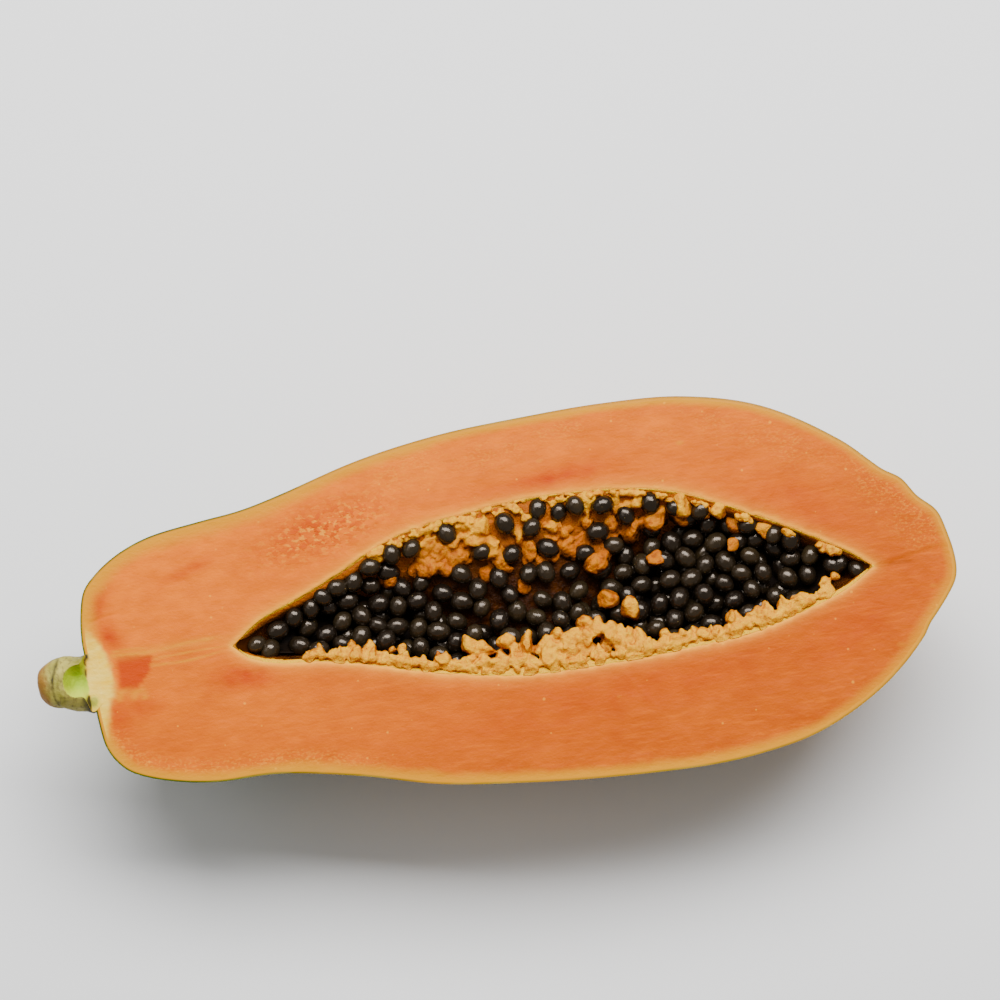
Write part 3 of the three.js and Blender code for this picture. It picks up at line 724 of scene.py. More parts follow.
def skin_finish():
    """Waxy skin: yellow to green towards the stem, mottled, with dark specks below the rim and pale
    scars; the cut edge is yellow and has no coat."""
    f = Finish("skin")
    green = f.plus(f.value("green"), f.range(f.mottle(34, 2.2, 1.0, 1.5), 0, 1, -0.32, 0.32))
    green = f.range(f.plus(green, f.range(f.mottle(7, 2.0, 2.0, 2.0), 0, 1, -0.12, 0.12)), 0.2, 0.8)
    ripe = f.mix(f.mottle(40, 2.5, 3.0), SKIN_YELLOW, SKIN_LIME)
    unripe = f.mix(f.mottle(14, 2.2, 4.0, 1.6), SKIN_GREEN, SKIN_DARK)
    colour = f.mix(green, ripe, unripe)
    shade = f.range(f.mottle(3.0, 3.0, 5.0, 1.6), 0.55, 0.9, 0, 0.4)
    colour = f.mix(f.times(shade, f.value("shady")), colour, SKIN_DARK)
    specks = f.plus(f.specks(5.0, 0.6, 0.28), f.times(f.value("shady"), f.specks(2.6, 0.55, 0.34)))
    specks = f.times(specks, f.range(f.value("shady"), 0, 0.02))
    colour = f.mix(f.times(specks, 0.85), colour, SKIN_SPECK)
    scar = f.times(f.range(f.mottle(1.8, 4.0, 6.0, 14.0), 0.85, 1.0), 0.2)
    colour = f.mix(scar, colour, SKIN_SCAR)
    colour = f.mix(f.value("depth"), colour, RIND_YELLOW)
    normal = f.bump(f.mottle(9.0, 2.0, 7.0), 0.25, 0.4)
    normal = f.bump(f.mottle(0.9, 1.6, 8.0), 0.12, 0.08, normal)
    normal = f.bump(specks, 0.4, 0.1, normal)
    roughness = f.range(f.mottle(6.0, 2.0, 9.0), 0, 1, 0.24, 0.4)
    coat = f.range(f.value("depth"), 0, 0.5, 0.16, 0)
    return f.finish(colour, roughness, normal, Coat_Weight=coat, Coat_Roughness=0.1,
                    Specular_IOR_Level=0.08)


def pulp_finish():
    """Soft crumbly pulp: cream and yellow-orange in random patches, paler cream on crests and upward faces
    as painted light, and painted shade, orange then near black brown, on sunken, steep and deep parts.
    """
    f = Finish("pulp")
    colour = f.mix(f.mottle(4.0, 2.6, 1.0), PULP_MID, PULP_CREAM_AND_LIT)
    colour = f.mix(f.times(f.mottle(1.6, 3.0, 2.0), 0.4), colour, PULP_ORANGE_AND_SHADE)
    # Painted light: paler cream on raised and upward faces of the pulp
    colour = f.mix(f.value("cream_and_lit"), colour, PULP_CREAM_AND_LIT)
    # Painted shade: darker orange, then near black brown, where the pulp is sunken, steep or deep
    colour = f.mix(f.range(f.value("painted_shade"), 0, 0.5), colour, PULP_ORANGE_AND_SHADE)
    colour = f.mix(f.range(f.value("painted_shade"), 0.5, 1), colour, PULP_SHADE_BROWN)
    normal = f.bump(f.mottle(1.0, 2.6, 3.0), 0.8, 0.35)
    normal = f.bump(f.mottle(0.35, 2.4, 4.0), 0.6, 0.12, normal)
    roughness = f.range(f.mottle(2.0, 2.0, 5.0), 0, 1, 0.34, 0.55)
    return f.finish(colour, roughness, normal, Subsurface_Weight=0.3, Specular_IOR_Level=0.12,
                    Subsurface_Radius=(0.002, 0.001, 0.0004), Subsurface_Scale=1.0)


def seed_finish():
    """Seed coats: near black with a brown-olive tint, partly random and partly a painted glow on their near
    side, wet, slightly wrinkled.
    """
    f = Finish("seeds")
    colour = f.mix(f.value("tone_and_glow"), SEED_BLACK, SEED_OLIVE)
    colour = f.mix(f.times(f.mottle(2.4, 3.0, 1.0), 0.6), colour, SEED_BLACK)
    colour = f.mix(f.times(f.specks(1.3, 0.14, 0.2), 0.5), colour, SEED_FLECK)
    normal = f.bump(f.mottle(1.5, 2.0, 2.0), 0.3, 0.3)
    roughness = f.range(f.mottle(3.0, 2.0, 3.0), 0, 1, 0.1, 0.24)
    return f.finish(colour, roughness, normal, Specular_IOR_Level=0.62, Specular_Tint=SEED_GLOSS)


def heap_shade_finish():
    """Painted shade: near black and brown for the dark gaps between the deepest seeds."""
    f = Finish("heap_shade")
    colour = f.mix(f.mottle(3.0, 3.0, 1.0), GAP_SHADE_BLACK, GAP_SHADE_BROWN)
    roughness = f.range(f.mottle(2.0, 2.0, 2.0), 0, 1, 0.5, 0.7)
    return f.finish(colour, roughness, Specular_IOR_Level=0.04)


def stem_finish():
    """Woody green stalk: olive green with brown marks, brown tip, dark scars, and a fresh green scoop
    that pales into the cream tissue at its root."""
    f = Finish("stem")
    colour = f.mix(f.mottle(4.0, 2.8, 1.0), STEM_PALE, STEM_GREEN)
    colour = f.mix(f.times(f.value("brown"), 0.5), colour, STEM_BROWN)
    scars = f.range(f.mottle(2.2, 4.0, 2.0, 0.6), 0.6, 0.85)
    colour = f.mix(f.times(scars, 0.5), colour, STEM_SCAR)
    colour = f.mix(f.value("tip"), colour, STEM_BROWN)
    colour = f.mix(f.value("scar"), colour, STEM_DARK)
    fresh = f.mix(f.mottle(3.0, 2.2, 3.0), SLICE_GREEN, SLICE_LIME)
    fresh = f.mix(f.times(f.value("pale"), 0.8), fresh, SLICE_PALE)
    colour = f.mix(f.value("sliced"), colour, fresh)
    colour = f.mix(f.value("level"), colour, f.root_fibre())
    colour = f.mix(f.value("torn"), colour, STEM_DARK)
    normal = f.bump(f.mottle(1.6, 2.4, 4.0), 0.45, 0.4)
    normal = f.bump(f.mottle(0.5, 2.0, 5.0), 0.3, 0.1, normal)
    roughness = f.range(f.mottle(3.0, 2.0, 6.0), 0, 1, 0.4, 0.65)
    return f.finish(colour, roughness, normal, Specular_IOR_Level=0.12)


# Pieces


def make_skin():
    """Outer and inner face of the skin, body_grid at two insets, joined at the cut by strips across its
    thickness. Below the rim the outer face has dents of layered noise along its normal, and its belly is
    pressed flat where it lies."""
    stations, arcs, steps = 260, 96, 5
    outer = body_grid(stations, arcs, SKIN_OUT)
    dents = 0.3 * (0.5 + 0.5 * layered_noise(outer, 26, 3, 2))[..., None]
    below_rim = smooth(0, 6, -outer[..., 2])[..., None]
    inward = body_grid(stations, arcs, 1.0) - body_grid(stations, arcs, 0.0)
    outer = outer + inward * dents * below_rim
    inner = body_grid(stations, arcs, SKIN_THICK)
    share = np.linspace(0, 1, steps)
    edges = [(strip(outer[:, side], inner[:, side], share), False) for side in (0, -1)]
    points, faces = joined_grids([(outer, False), (inner, True), *edges])
    face_size = outer.size // 3
    edge_depth = np.tile(smooth(0.25, 0.6, share), 2 * (stations + 1))
    depth = np.concatenate([np.zeros(face_size), np.ones(face_size), edge_depth])
    x, y, z = points.T
    green = smooth(130, 0, x) * 0.85 + 0.3 * smooth(-20, -50, z)
    green = green + 0.15 * smooth(40, -45, y) * smooth(60, 160, x)
    row = placed(points)
    row[:, 2] = np.maximum(row[:, 2], 0)
    return make_piece("papaya_skin", row, faces, skin_finish(), ["skin"], sharp=50,
                      values={"depth": depth, "green": green, "shady": smooth(-5, -40, z)})


def distance_to(points, line):
    """Distance on the cut face from each point to the nearest point of a closed line of points."""
    found = np.empty(len(points))
    for k in range(0, len(points), 4000):
        part = points[k:k + 4000, None, :2] - line[None, :, :2]
        found[k:k + 4000] = np.sqrt((part**2).sum(-1)).min(1)
    return found


def flesh_values(points, rim, edge):
    """Masks on the cut face, from distances to the skin (rim) and to the cavity (edge) and from place.
    Patches and strands are bell curves across their lines, and bands are smooth steps of distance."""
    x, y = points[:, 0], points[:, 1]
    wobble = layered_noise(points, 9, 5)
    fine = layered_noise(points, 2.5, 8)
    far_side = smooth(-8, 12, y - curve_at(CAVITY_FAR, np.clip(x, 41, 233)) * 0.5)
    wide = (1.7 + 2.2 * smooth(140, 20, x)) * far_side + 2.5 * (1 - far_side)
    rind = smooth(1.3, 0, rim / (wide * (1.1 + 0.45 * wobble + 0.25 * fine)))
    rind = rind * (1 - 0.3 * smooth(190, 235, x))
    core = hill(edge, 0, 1.25) * (0.8 + 0.4 * fine) + 0.2 * smooth(6, 0, edge)
    # Share of deep orange: greater towards the blossom end and the near side; the paler stem end and far
    # side are partly the flesh's own tone and partly painted light
    deep = 0.12 + 0.0034 * x - 0.0085 * y + 0.2 * wobble + 0.08 * fine
    warm = np.zeros(len(points))
    for px, py, long, half, slope, strength in WARM_PATCHES:
        across = (y - py) - slope * (x - px)
        near = ((x - px) / long) ** 2 + (across / half) ** 2
        warm = np.maximum(warm, strength * np.exp(-near * (1 + 0.8 * wobble) * 0.8))
    # The squarish red patch by the stem, with a slanted right side
    right = 15.8 + np.where(y > 0, 0.22, 0.87) * y + 0.25 * fine
    block = smooth(5.2, 7.4, x) * smooth(0.45, -0.45, x - right) * smooth(-0.7, 0.2, y + 5.0)
    block = block * smooth(0.4, -0.4, y - (5.7 - 0.13 * (x - 6.8)))
    warm = np.clip(np.maximum(warm * (1 + 0.5 * fine), 0.95 * block), 0, 1)
    root_edge = curve_at(ROOT_EDGE, np.clip(y, -24, 20))
    root = smooth(1.3, -1.3, x - root_edge - 1.1 * fine) * smooth(17, 9, y) * smooth(-23, -15, y)
    strands = 0.35 * hill(y, 6.0 + 0.05 * (x - 20), 1.6) * smooth(4, 8, x) * smooth(44, 30, x)
    for line, width in STRANDS:
        off = (y - curve_at(line, x)) / (width * (1 + 0.5 * wobble))
        fade = 0.25 * (line[-1][0] - line[0][0])
        along = smooth(line[0][0] - 0.5, line[0][0] + 1, x) * smooth(line[-1][0], line[-1][0] - fade, x)
        strands = np.maximum(strands, 0.8 * np.exp(-(off**2)) * along * (0.8 + 0.5 * fine))
    fuzz = np.exp(-(((x - 72) / 17) ** 2) - ((y - 36 - 0.25 * (x - 72)) / 6.5) ** 2)
    low_left = smooth(95, 60, x) * smooth(-10, -22, y)
    nose_top = smooth(222, 240, x) * smooth(4, 12, y)
    # Pale cream specks by the rim: partly the flesh's own flecks, and along the far side partly painted wet
    # glints
    specks_and_glints = smooth(8, 3, rim) * smooth(0.8, 2.2, rim) * np.maximum(np.maximum(low_left, nose_top), 0.15)
    beyond = y - curve_at(CAVITY_FAR, np.clip(x, 41, 233))
    far_band = smooth(17, 7, rim) * smooth(1.5, 4, rim) * smooth(0, 4, beyond)
    specks_and_glints = np.maximum(specks_and_glints, 0.8 * far_band * smooth(60, 110, x) * smooth(-0.5, 0.5, wobble))
    on_top = smooth(-1.5, -0.4, points[:, 2])
    middle, half, _ = cavity_at(x, 0)
    # Painted shade: mask of the cavity's wall below the cut face, coloured dark brown by the flesh material
    wall = (1 - smooth(-0.8, -0.2, points[:, 2])) * (np.abs(y - middle) < half + 0.6)
    return {"wall": wall, "rind": rind * on_top, "core": core * on_top, "deep": deep, "warm": warm * on_top,
            "root": root, "strands": strands * on_top, "fuzz": fuzz * on_top, "specks_and_glints": specks_and_glints * on_top}


def flesh_relief(points, rim, edge):
    """Height of the cut face: slow waves of the knife, faint seams and a crease, and edges that round
    off."""
    x, y = points[:, 0], points[:, 1]
    wave = 0.2 * layered_noise(points * np.array([0.6, 1, 1]), 14, 11) + 0.05 * layered_noise(points, 3, 12)
    seams = 0.0
    for seam in (SEAM_FAR, SEAM_NEAR):
        across = (x - seam["x"]) - seam["lean"] * (y - seam["y"])
        near = np.exp(-(((y - seam["y"]) / 13) ** 2))
        drop = smooth(-0.4, 0.4, across) * np.exp(-np.abs(across) / 9)
        seams = seams + near * (0.12 * np.exp(-((across / 0.5) ** 2)) - 0.16 * drop)
    crease = (y - curve_at(CREASE, x)) / 0.4
    seams = seams - 0.3 * np.exp(-(crease**2)) * smooth(10, 7, x)
    nose = y - 4.2 - 0.2 * (x - 237)
    step = -0.3 * smooth(0.8, -0.8, nose) * smooth(228, 240, x) * np.exp(-np.abs(nose) / 10)
    held = smooth(0, 2.5, rim)
    round_off = -0.3 * np.exp(-((edge / 0.4) ** 2)) - 0.15 * np.exp(-((edge / 1.6) ** 2))
    return held * (wave + seams + step) + round_off


def make_flesh():
    """Flesh: the inner face of the skin, the level cut face as strips from the skin's line to the cavity's
    edge, with steps crowded towards both, and the cavity's wall of half ellipses, ragged where pulp was
    torn from it."""
    stations, arcs, across = 420, 20, 84
    outer = body_grid(stations, arcs, SKIN_THICK)
    wall = cavity_grid(stations, arcs, 0.0)
    torn = smooth(60, 95, wall[..., 0]) * smooth(228, 205, wall[..., 0])
    ragged = 0.5 * layered_noise(wall, 2.4, 61) * (0.15 + 0.85 * torn)
    wall[1:-1, :, 1] += ragged[1:-1]
    share = np.linspace(0, 1, across + 1)
    share = 0.5 * share + 0.5 * (1 - np.cos(np.pi * share)) / 2
    top = np.concatenate([strip(outer[:, side], wall[:, side], share) for side in (0, -1)]).reshape(-1, 3)
    rim = distance_to(top, np.concatenate([outer[:, 0], outer[::-1, -1]]))
    edge = distance_to(top, np.concatenate([wall[:, 0], wall[::-1, -1]]))
    top[:, 2] += flesh_relief(top, rim, edge)
    far, near = top.reshape(2, stations + 1, across + 1, 3)
    wall[:, 0] = far[:, -1]
    wall[:, -1] = near[:, -1]
    points, faces = joined_grids([(far, False), (near, False), (outer, False), (wall, True)])
    others = np.zeros(len(points) - len(top))
    values = flesh_values(points, np.concatenate([rim, others]), np.concatenate([edge, others]))
    row = placed(points)
    row[:, 2] = np.maximum(row[:, 2], 0.5 * MM)
    return make_piece("papaya_flesh", row, faces, flesh_finish(), ["flesh"], sharp=60,
                      values=values)


def lump_places(rows):
    """Places of lumps or crumbs, by a rule with seeded draws: along the near rim or on the bank. Columns:
    x, y, z, size and a random turn."""
    found = []
    for row in rows:
        draw = random_from(row["seed"])
        for k in range(row["count"]):
            x = row["from"] + (row["to"] - row["from"]) * (k + draw()) / row["count"]
            into = between(*row["in"], draw)
            if row["bank"]:
                into *= float(bank_spread(x))
            elif "wavy" in row:
                into *= float(band_width(x))
            down = between(*row["down"], draw)
            size = between(*row["size"], draw)
            middle, half, _ = cavity_at(x, LINING_THICK)
            y = float(middle + half - into if row["bank"] else middle - half + into)
            z = float(-bank_depth(x, into) - down if row["bank"] else -down)
            found.append((x, y, min(z, 1 - size), size, 6 * draw()))
    return np.array(found)


def in_lumps(lumps, spot):
    """True where a seed at the spot would sink into a lump."""
    return crowded(lumps[:, :3], spot, 0.7 * lumps[:, 3] + 1.6)


def along_bank(draw):
    """A random x along the bank."""
    return BANK["x"] + BANK["long"] * BANK_SEEDS["spread"] * (2 * draw() - 1)


def strewn_seeds():
    """Seed centres: random points on the bank and over the heap, kept when no earlier seed is too near.
    Columns: x, y, z, rest height, turn, tilt, size, banked."""
    draw = random_from(TOP_DRAW)
    start, end = cavity_tips(LINING_THICK + 0.6 * SEED_WIDE)
    seeds = np.empty((0, 8))

    def keep_if_clear(x, y, z, banked, apart):
        nonlocal seeds
        pose = drawn_pose(draw)
        place = held_in_cavity(np.array([[x, y, z]]))[0]
        if not crowded(seeds[:, :3], place, apart):
            seeds = np.vstack([seeds, [*place, place[2], *pose, banked]])

    for _ in range(BANK_SEEDS["tries"]):
        x = along_bank(draw)
        middle, half, _ = cavity_at(x, LINING_THICK)
        y = float(middle + half - BANK_SEEDS["from"] - BANK_SEEDS["reach"] * bank_spread(x) * draw())
        keep_if_clear(x, y, float(on_bank(x, y)), 1, SEED_TOUCH)
    for _ in range(SEED_TRIES):
        x = between(start, end, draw)
        across = 2 * draw() - 1
        lift = 2 * draw() - 1
        middle, half, _ = cavity_at(x, LINING_THICK + WALL_SHARE * SEED_WIDE)
        y = float(middle + max(half, 0) * across)
        z = -(float(heap_depth(x, y)) + SEED_WIDE + SEED_LIFT * lift)
        if z > on_bank(x, y):
            keep_if_clear(x, y, z, 0, SEED_APART)
    return seeds


def held_in_cavity(p):
    """Points kept inside the lined cavity and above the bank: y between the walls, z above the floor."""
    middle, half, depth = cavity_at(p[:, 0], LINING_THICK + WALL_SHARE * SEED_WIDE)
    reach = np.maximum(half, 0.2)
    y = np.clip(p[:, 1], middle - reach, middle + reach)
    across = (y - middle) / reach
    floor = np.maximum(depth, SHALLOW) * np.sqrt(np.maximum(0, 1 - WALL_SHARE * across**2))
    z = np.maximum(p[:, 2], -np.maximum(floor, SEED_WIDE + 1))
    return np.stack([p[:, 0], y, np.maximum(z, on_bank(p[:, 0], y))], -1)


def settled_seeds():
    """Strewn seeds after settling: each pair nearer than it may be moves apart by a share of its
    overlap, and each seed is pulled back towards its height."""
    seeds = strewn_seeds()
    size = (seeds[:, None, 6] + seeds[None, :, 6]) / 2
    for _ in range(SETTLE_STEPS):
        gap = seeds[None, :, :3] - seeds[:, None, :3]
        apart = np.linalg.norm(gap, axis=-1)
        np.fill_diagonal(apart, np.inf)
        push = PUSH * np.maximum(SEED_TOUCH * size - apart, 0) / apart
        move = -(push[..., None] * gap).sum(1)
        place = seeds[:, :3] + move
        place[:, 2] += PULL * (seeds[:, 3] - seeds[:, 2])
        seeds[:, :3] = held_in_cavity(place)
    return seeds


def tucked_seeds(top, lumps):
    """More seeds on the bank: a row under the far rim, a few on its slope and many at its foot, strewn
    clear of the lumps and of all seeds before them."""
    draw = random_from(TUCKED_DRAW)
    seeds = top.copy()
    for tries, low, high, apart in TUCKED_ROWS:
        for _ in range(tries):
            x = between(TUCKED_FROM, TUCKED_TO, draw)
            into = between(low, high, draw)
            pose = drawn_pose(draw)
            middle, half, _ = cavity_at(x, LINING_THICK)
            y = float(middle + half - into)
            if into > high * float(bank_spread(x)) + 3 and into > 4:
                continue
            place = np.array([x, y, min(float(on_bank(x, y)), TUCKED_TOP)])
            if not in_lumps(lumps, place) and not crowded(seeds[:, :3], place, apart):
                seeds = np.vstack([seeds, [*place, place[2], *pose, 1]])
    return seeds


def edge_seeds(taken, lumps):
    """Seeds that touch the far wall on both sides of the bank, clear of the lumps and of all others."""
    draw = random_from(EDGE_DRAW)
    seeds = taken.copy()
    for start, end, tries in EDGE_ROWS:
        for _ in range(tries):
            x = between(start, end, draw)
            pose = drawn_pose(draw)
            middle, half, _ = cavity_at(x, EDGE_IN)
            place = np.array([x, float(middle + half), -EDGE_DOWN - draw()])
            if not crowded(seeds[:, :3], place, EDGE_APART) and not in_lumps(lumps, place):
                seeds = np.vstack([seeds, [*place, place[2], *pose, 0]])
    return seeds[len(taken):]


def deep_seeds(top):
    """Seeds under the top layer, seen in its gaps: strewn deeper, clear of all seeds before them."""
    draw = random_from(DEEP_DRAW)
    start, end = cavity_tips(LINING_THICK + 0.6 * SEED_WIDE)
    seeds = top.copy()
    for down, tries in DEEP_LAYERS:
        for _ in range(tries):
            x = between(start, end, draw)
            across = 2 * draw() - 1
            middle, half, _ = cavity_at(x, LINING_THICK + WALL_SHARE * SEED_WIDE)
            y = float(middle + max(half, 0) * across)
            z = -(float(heap_depth(x, y)) + SEED_WIDE + down + draw())
            pose = drawn_pose(draw)
            place = held_in_cavity(np.array([[x, y, z]]))[0]
            if z >= on_bank(x, y) - 1 and not crowded(seeds[:, :3], place, DEEP_APART):
                seeds = np.vstack([seeds, [*place, z, *pose, 0]])
    return seeds[len(top):]


def turned_by(tilt, turn):
    """Rotation matrices: tilt about y, then turn about z."""
    ct, st, cu, su = np.cos(tilt), np.sin(tilt), np.cos(turn), np.sin(turn)
    zero = np.zeros_like(ct)
    tilt_matrix = np.stack([np.stack([ct, zero, st], -1), np.stack([zero, zero + 1, zero], -1),
                            np.stack([-st, zero, ct], -1)], -2)
    turn_matrix = np.stack([np.stack([cu, -su, zero], -1), np.stack([su, cu, zero], -1),
                            np.stack([zero, zero, zero + 1], -1)], -2)
    return turn_matrix @ tilt_matrix


def make_seeds():
    """Seeds: egg-round balls of rings and sides with a little noise, each turned its own way. Those hidden
    in lumps are left out, and the seeds of both tips and of the deeper layers are added. Returns the top
    layer."""
    lumps = lump_places(LUMP_ROWS)
    top = tucked_seeds(settled_seeds(), lumps)
    apart = np.linalg.norm(top[:, None, :3] - lumps[None, :, :3], axis=-1)
    hidden = (apart < lumps[None, :, 3] + HIDDEN_WITHIN).any(1) & (top[:, 7] == 0)
    tips = np.array([[x, y, z, z, turn, 0.2, 0.88, 0] for x, y, z, turn in TIP_SEEDS])
    edge = edge_seeds(np.vstack([top, tips]), lumps)
    seeds = np.vstack([top[~hidden], deep_seeds(np.vstack([top, tips, edge])), tips, edge])
    ring = np.linspace(0, np.pi, SEED_RINGS + 1)[:, None]
    side = 2 * np.pi * np.arange(SEED_SIDES)[None, :] / SEED_SIDES
    egg = 1 - 0.05 * np.cos(ring)
    ball = np.stack(np.broadcast_arrays(-np.cos(ring), np.sin(ring) * np.cos(side) * egg,
                                        np.sin(ring) * np.sin(side) * egg), -1).reshape(-1, 3)
    radii = np.array([SEED_LONG, SEED_WIDE, SEED_WIDE])
    shape = ball[None] * radii * seeds[:, 6, None, None]
    shape = shape @ np.swapaxes(turned_by(seeds[:, 5], seeds[:, 4]), 1, 2)
    outward = shape / np.linalg.norm(shape, axis=-1, keepdims=True)
    points = shape + seeds[:, None, :3]
    points = points + outward * (0.12 * lattice_noise(points, 1.7, 4))[..., None]
    face = grid_faces(SEED_RINGS + 1, SEED_SIDES, ring=True)
    faces = (face[None] + (np.arange(len(seeds)) * len(ball))[:, None, None]).reshape(-1, 4)
    own_tone = np.random.default_rng(TONE_DRAW).random(len(seeds))
    # Painted glow: the side of each seed towards the near edge is tinted olive, as light shining through the
    # coat
    painted_glow = smooth(0.2, -1.0, outward[..., 1] + 0.5 * lattice_noise(points, 2.2, 5))
    tone_and_glow = (0.9 * own_tone[:, None] ** 2 + 0.35 * painted_glow).reshape(-1)
    make_piece("papaya_seeds", placed(points.reshape(-1, 3)), faces, seed_finish(), ["seeds"],
               values={"tone_and_glow": tone_and_glow})
    return top


def make_shade_body():
    """Painted shade: a dark body under the seeds, seen in their gaps; at each station a ring whose top
    follows the heap and whose underside follows the lining."""
    start, end = cavity_tips(LINING_THICK + 1)
    s = np.linspace(0.02, 0.98, 80)[:, None]
    x = start + (end - start) * s
    middle, half, depth = cavity_at(x, LINING_THICK + 0.6)
    across = 0.82 * np.linspace(-1, 1, 15)[None, :]
    y = middle + np.maximum(half, 0.1) * across
    floor = -np.maximum(depth, 0.4) * np.sqrt(np.maximum(0, 1 - across**2))
    bank = 0.6 - bank_depth(x, np.maximum(middle + half - y, 0))
    top = -heap_depth(x, y) - CORE_DOWN
    upper = np.maximum(np.minimum(top, -0.6), floor + 0.2)
    lower = np.minimum(np.maximum(floor, bank), upper - 0.1)
    x = x * np.ones_like(across)
    ring = np.concatenate([np.stack([x, y, upper], -1), np.stack([x, y, lower], -1)[:, ::-1]], 1)
    return make_piece("heap_shade", placed(ring.reshape(-1, 3)), capped_faces(*ring.shape[:2]),
                      heap_shade_finish(), ["seeds"])


def pit_places(banked):
    """Sockets of fallen seeds on the bank: random places clear of each other and of the seeds there.
    Columns: x and y."""
    draw = random_from(PIT_DRAW)
    pits = np.empty((0, 2))
    for _ in range(PIT_TRIES):
        x = along_bank(draw)
        middle, half, _ = cavity_at(x, LINING_THICK)
        place = np.array([x, float(middle + half - 1 - 24 * bank_spread(x) * draw())])
        if not crowded(pits, place, PIT_APART) and not crowded(banked[:, :2], place, PIT_APART):
            pits = np.vstack([pits, place])
    return pits


def make_lining(pits):
    """Seed bed: cavity wall to lined face, thin at the rim and at both tips, with a ledge along the near
    side and the bank on the far side, whose slope has round pits where seeds sat and is roughened by
    noise. Strips with uneven bulges close it at the rim."""
    stations, arcs, rim_steps = 300, 110, 10
    outer = cavity_grid(stations, arcs, -0.3)
    outer[..., 2] = np.minimum(outer[..., 2], -0.3)
    thin = cavity_grid(stations, arcs, 0.35)
    inner = cavity_grid(stations, arcs, LINING_THICK)
    angle = np.linspace(0, np.pi, arcs + 1)[None, :]
    share = np.linspace(0, 1, stations + 1)[:, None]
    full = (smooth(0.0, 0.3, np.sin(angle)) * smooth(0, 0.16, share) * smooth(1, 0.84, share))[..., None]
    across = np.maximum(inner[:, :1, 1] - inner[..., 1], 0)
    inner[..., 2] = np.maximum(inner[..., 2] - 1.0, -bank_depth(inner[..., 0], across))
    inner[..., :2] = thin[..., :2] * (1 - full) + inner[..., :2] * full
    ledge = 2.6 * band_width(inner[..., 0]) * (1 + 0.5 * layered_noise(inner * [1, 1, 0], 3.0, 24))
    ledge = ledge * smooth(0, 0.12, share) * smooth(1, 0.88, share)
    inner[..., 1] += (np.cos(angle) < 0) * ledge * smooth(3.4, 0.6, -inner[..., 2])
    on_slope = smooth(0.3, 2.5, across) * smooth(0.02, 0.2, bank_spread(inner[..., 0]))
    rough = 0.5 * layered_noise(inner, 3.2, 21) + 0.25 * layered_noise(inner, 1.1, 22)
    pit = np.zeros(inner.shape[:2])
    for x, y in pits:
        away = np.hypot(inner[..., 0] - x, inner[..., 1] - y) / PIT_SIZE * (1 + 0.5 * rough)
        pit = np.maximum(pit, np.sqrt(np.maximum(0, 1 - away**2)))
    inner[..., 2] += on_slope * (rough * 1.8 - 1.8 * pit)
    inner[..., 1] += 0.3 * layered_noise(inner, 2.4, 23) * smooth(0.2, 1.5, -inner[..., 2])
    inner[..., 2] = np.minimum(inner[..., 2], -0.3)
    along = np.linspace(0, 1, rim_steps)
    wide = np.clip((inner[:, -1, 1] - outer[:, -1, 1]) / 2, 0, 1)[:, None]
    edges = []
    for side in (0, -1):
        edge = strip(outer[:, side], inner[:, side], along)
        bulge = 0.7 * np.sin(np.pi * along) * (0.2 + layered_noise(edge, 1.7, 25))
        edge[..., 2] += bulge * wide
        edges.append((edge, False))
    points, faces = joined_grids([(outer, False), (inner, True), *edges])
    # Painted shade: the bed is coloured orange to near black brown in its pits, with depth, at the foot of
    # the bank and at both tips
    deep = smooth(0.4, 2.6, -inner[..., 2]) * (1 - on_slope)
    low = 0.55 + 0.45 * pit + 0.35 * rough + 0.42 * smooth(8, 13, across)
    at_tip = smooth(0.1, 0.04, share) + smooth(0.9, 0.96, share)
    painted_shade = np.zeros(len(points))
    painted_shade[pit.size:2 * pit.size] = np.maximum(np.maximum(low, 0.95 * deep), at_tip).reshape(-1)
    # Cream near the top of the bed, its own pale edge by the cut face; on the pulp the same value paints
    # light
    cream_and_lit = smooth(-1.4, -0.4, points[:, 2])
    return make_piece("papaya_lining", placed(points), faces, PULP, ["seed_bed"], sharp=70,
                      values={"painted_shade": np.clip(painted_shade, 0, 1), "cream_and_lit": cream_and_lit})


def unit_ball(level):
    """Points and faces of a ball made of triangles."""
    work = bmesh.new()
    bmesh.ops.create_icosphere(work, subdivisions=level, radius=1.0)
    points = np.array([v.co[:] for v in work.verts])
    faces = np.array([[v.index for v in f.verts] for f in work.faces])
    work.free()
    return points, faces


def craggy_shapes(sizes, draw):
    """Broken chunks: in each direction u the radius is the least of d / (n . u) over random planes with
    normals n at distances d, rounded off as -log(sum exp(-k r)) / k. Returns points and faces of one."""
    ball, face = unit_ball(3)
    normals = draw.normal(size=(len(sizes), CRAG_PLANES, 3))
    normals /= np.linalg.norm(normals, axis=-1, keepdims=True)
    away = 0.66 + 0.34 * draw.random((len(sizes), 1, CRAG_PLANES))
    reach = away / np.maximum(ball @ np.swapaxes(normals, 1, 2), 0.1)
    reach = np.concatenate([reach, np.full((*reach.shape[:2], 1), 1.25)], -1)
    radius = -np.log(np.exp(-CRAG_SOFT * reach).sum(-1)) / CRAG_SOFT
    stretch = 0.8 + 0.45 * draw.random((len(sizes), 1, 3))
    return ball * (radius * sizes[:, None])[..., None] * stretch, face


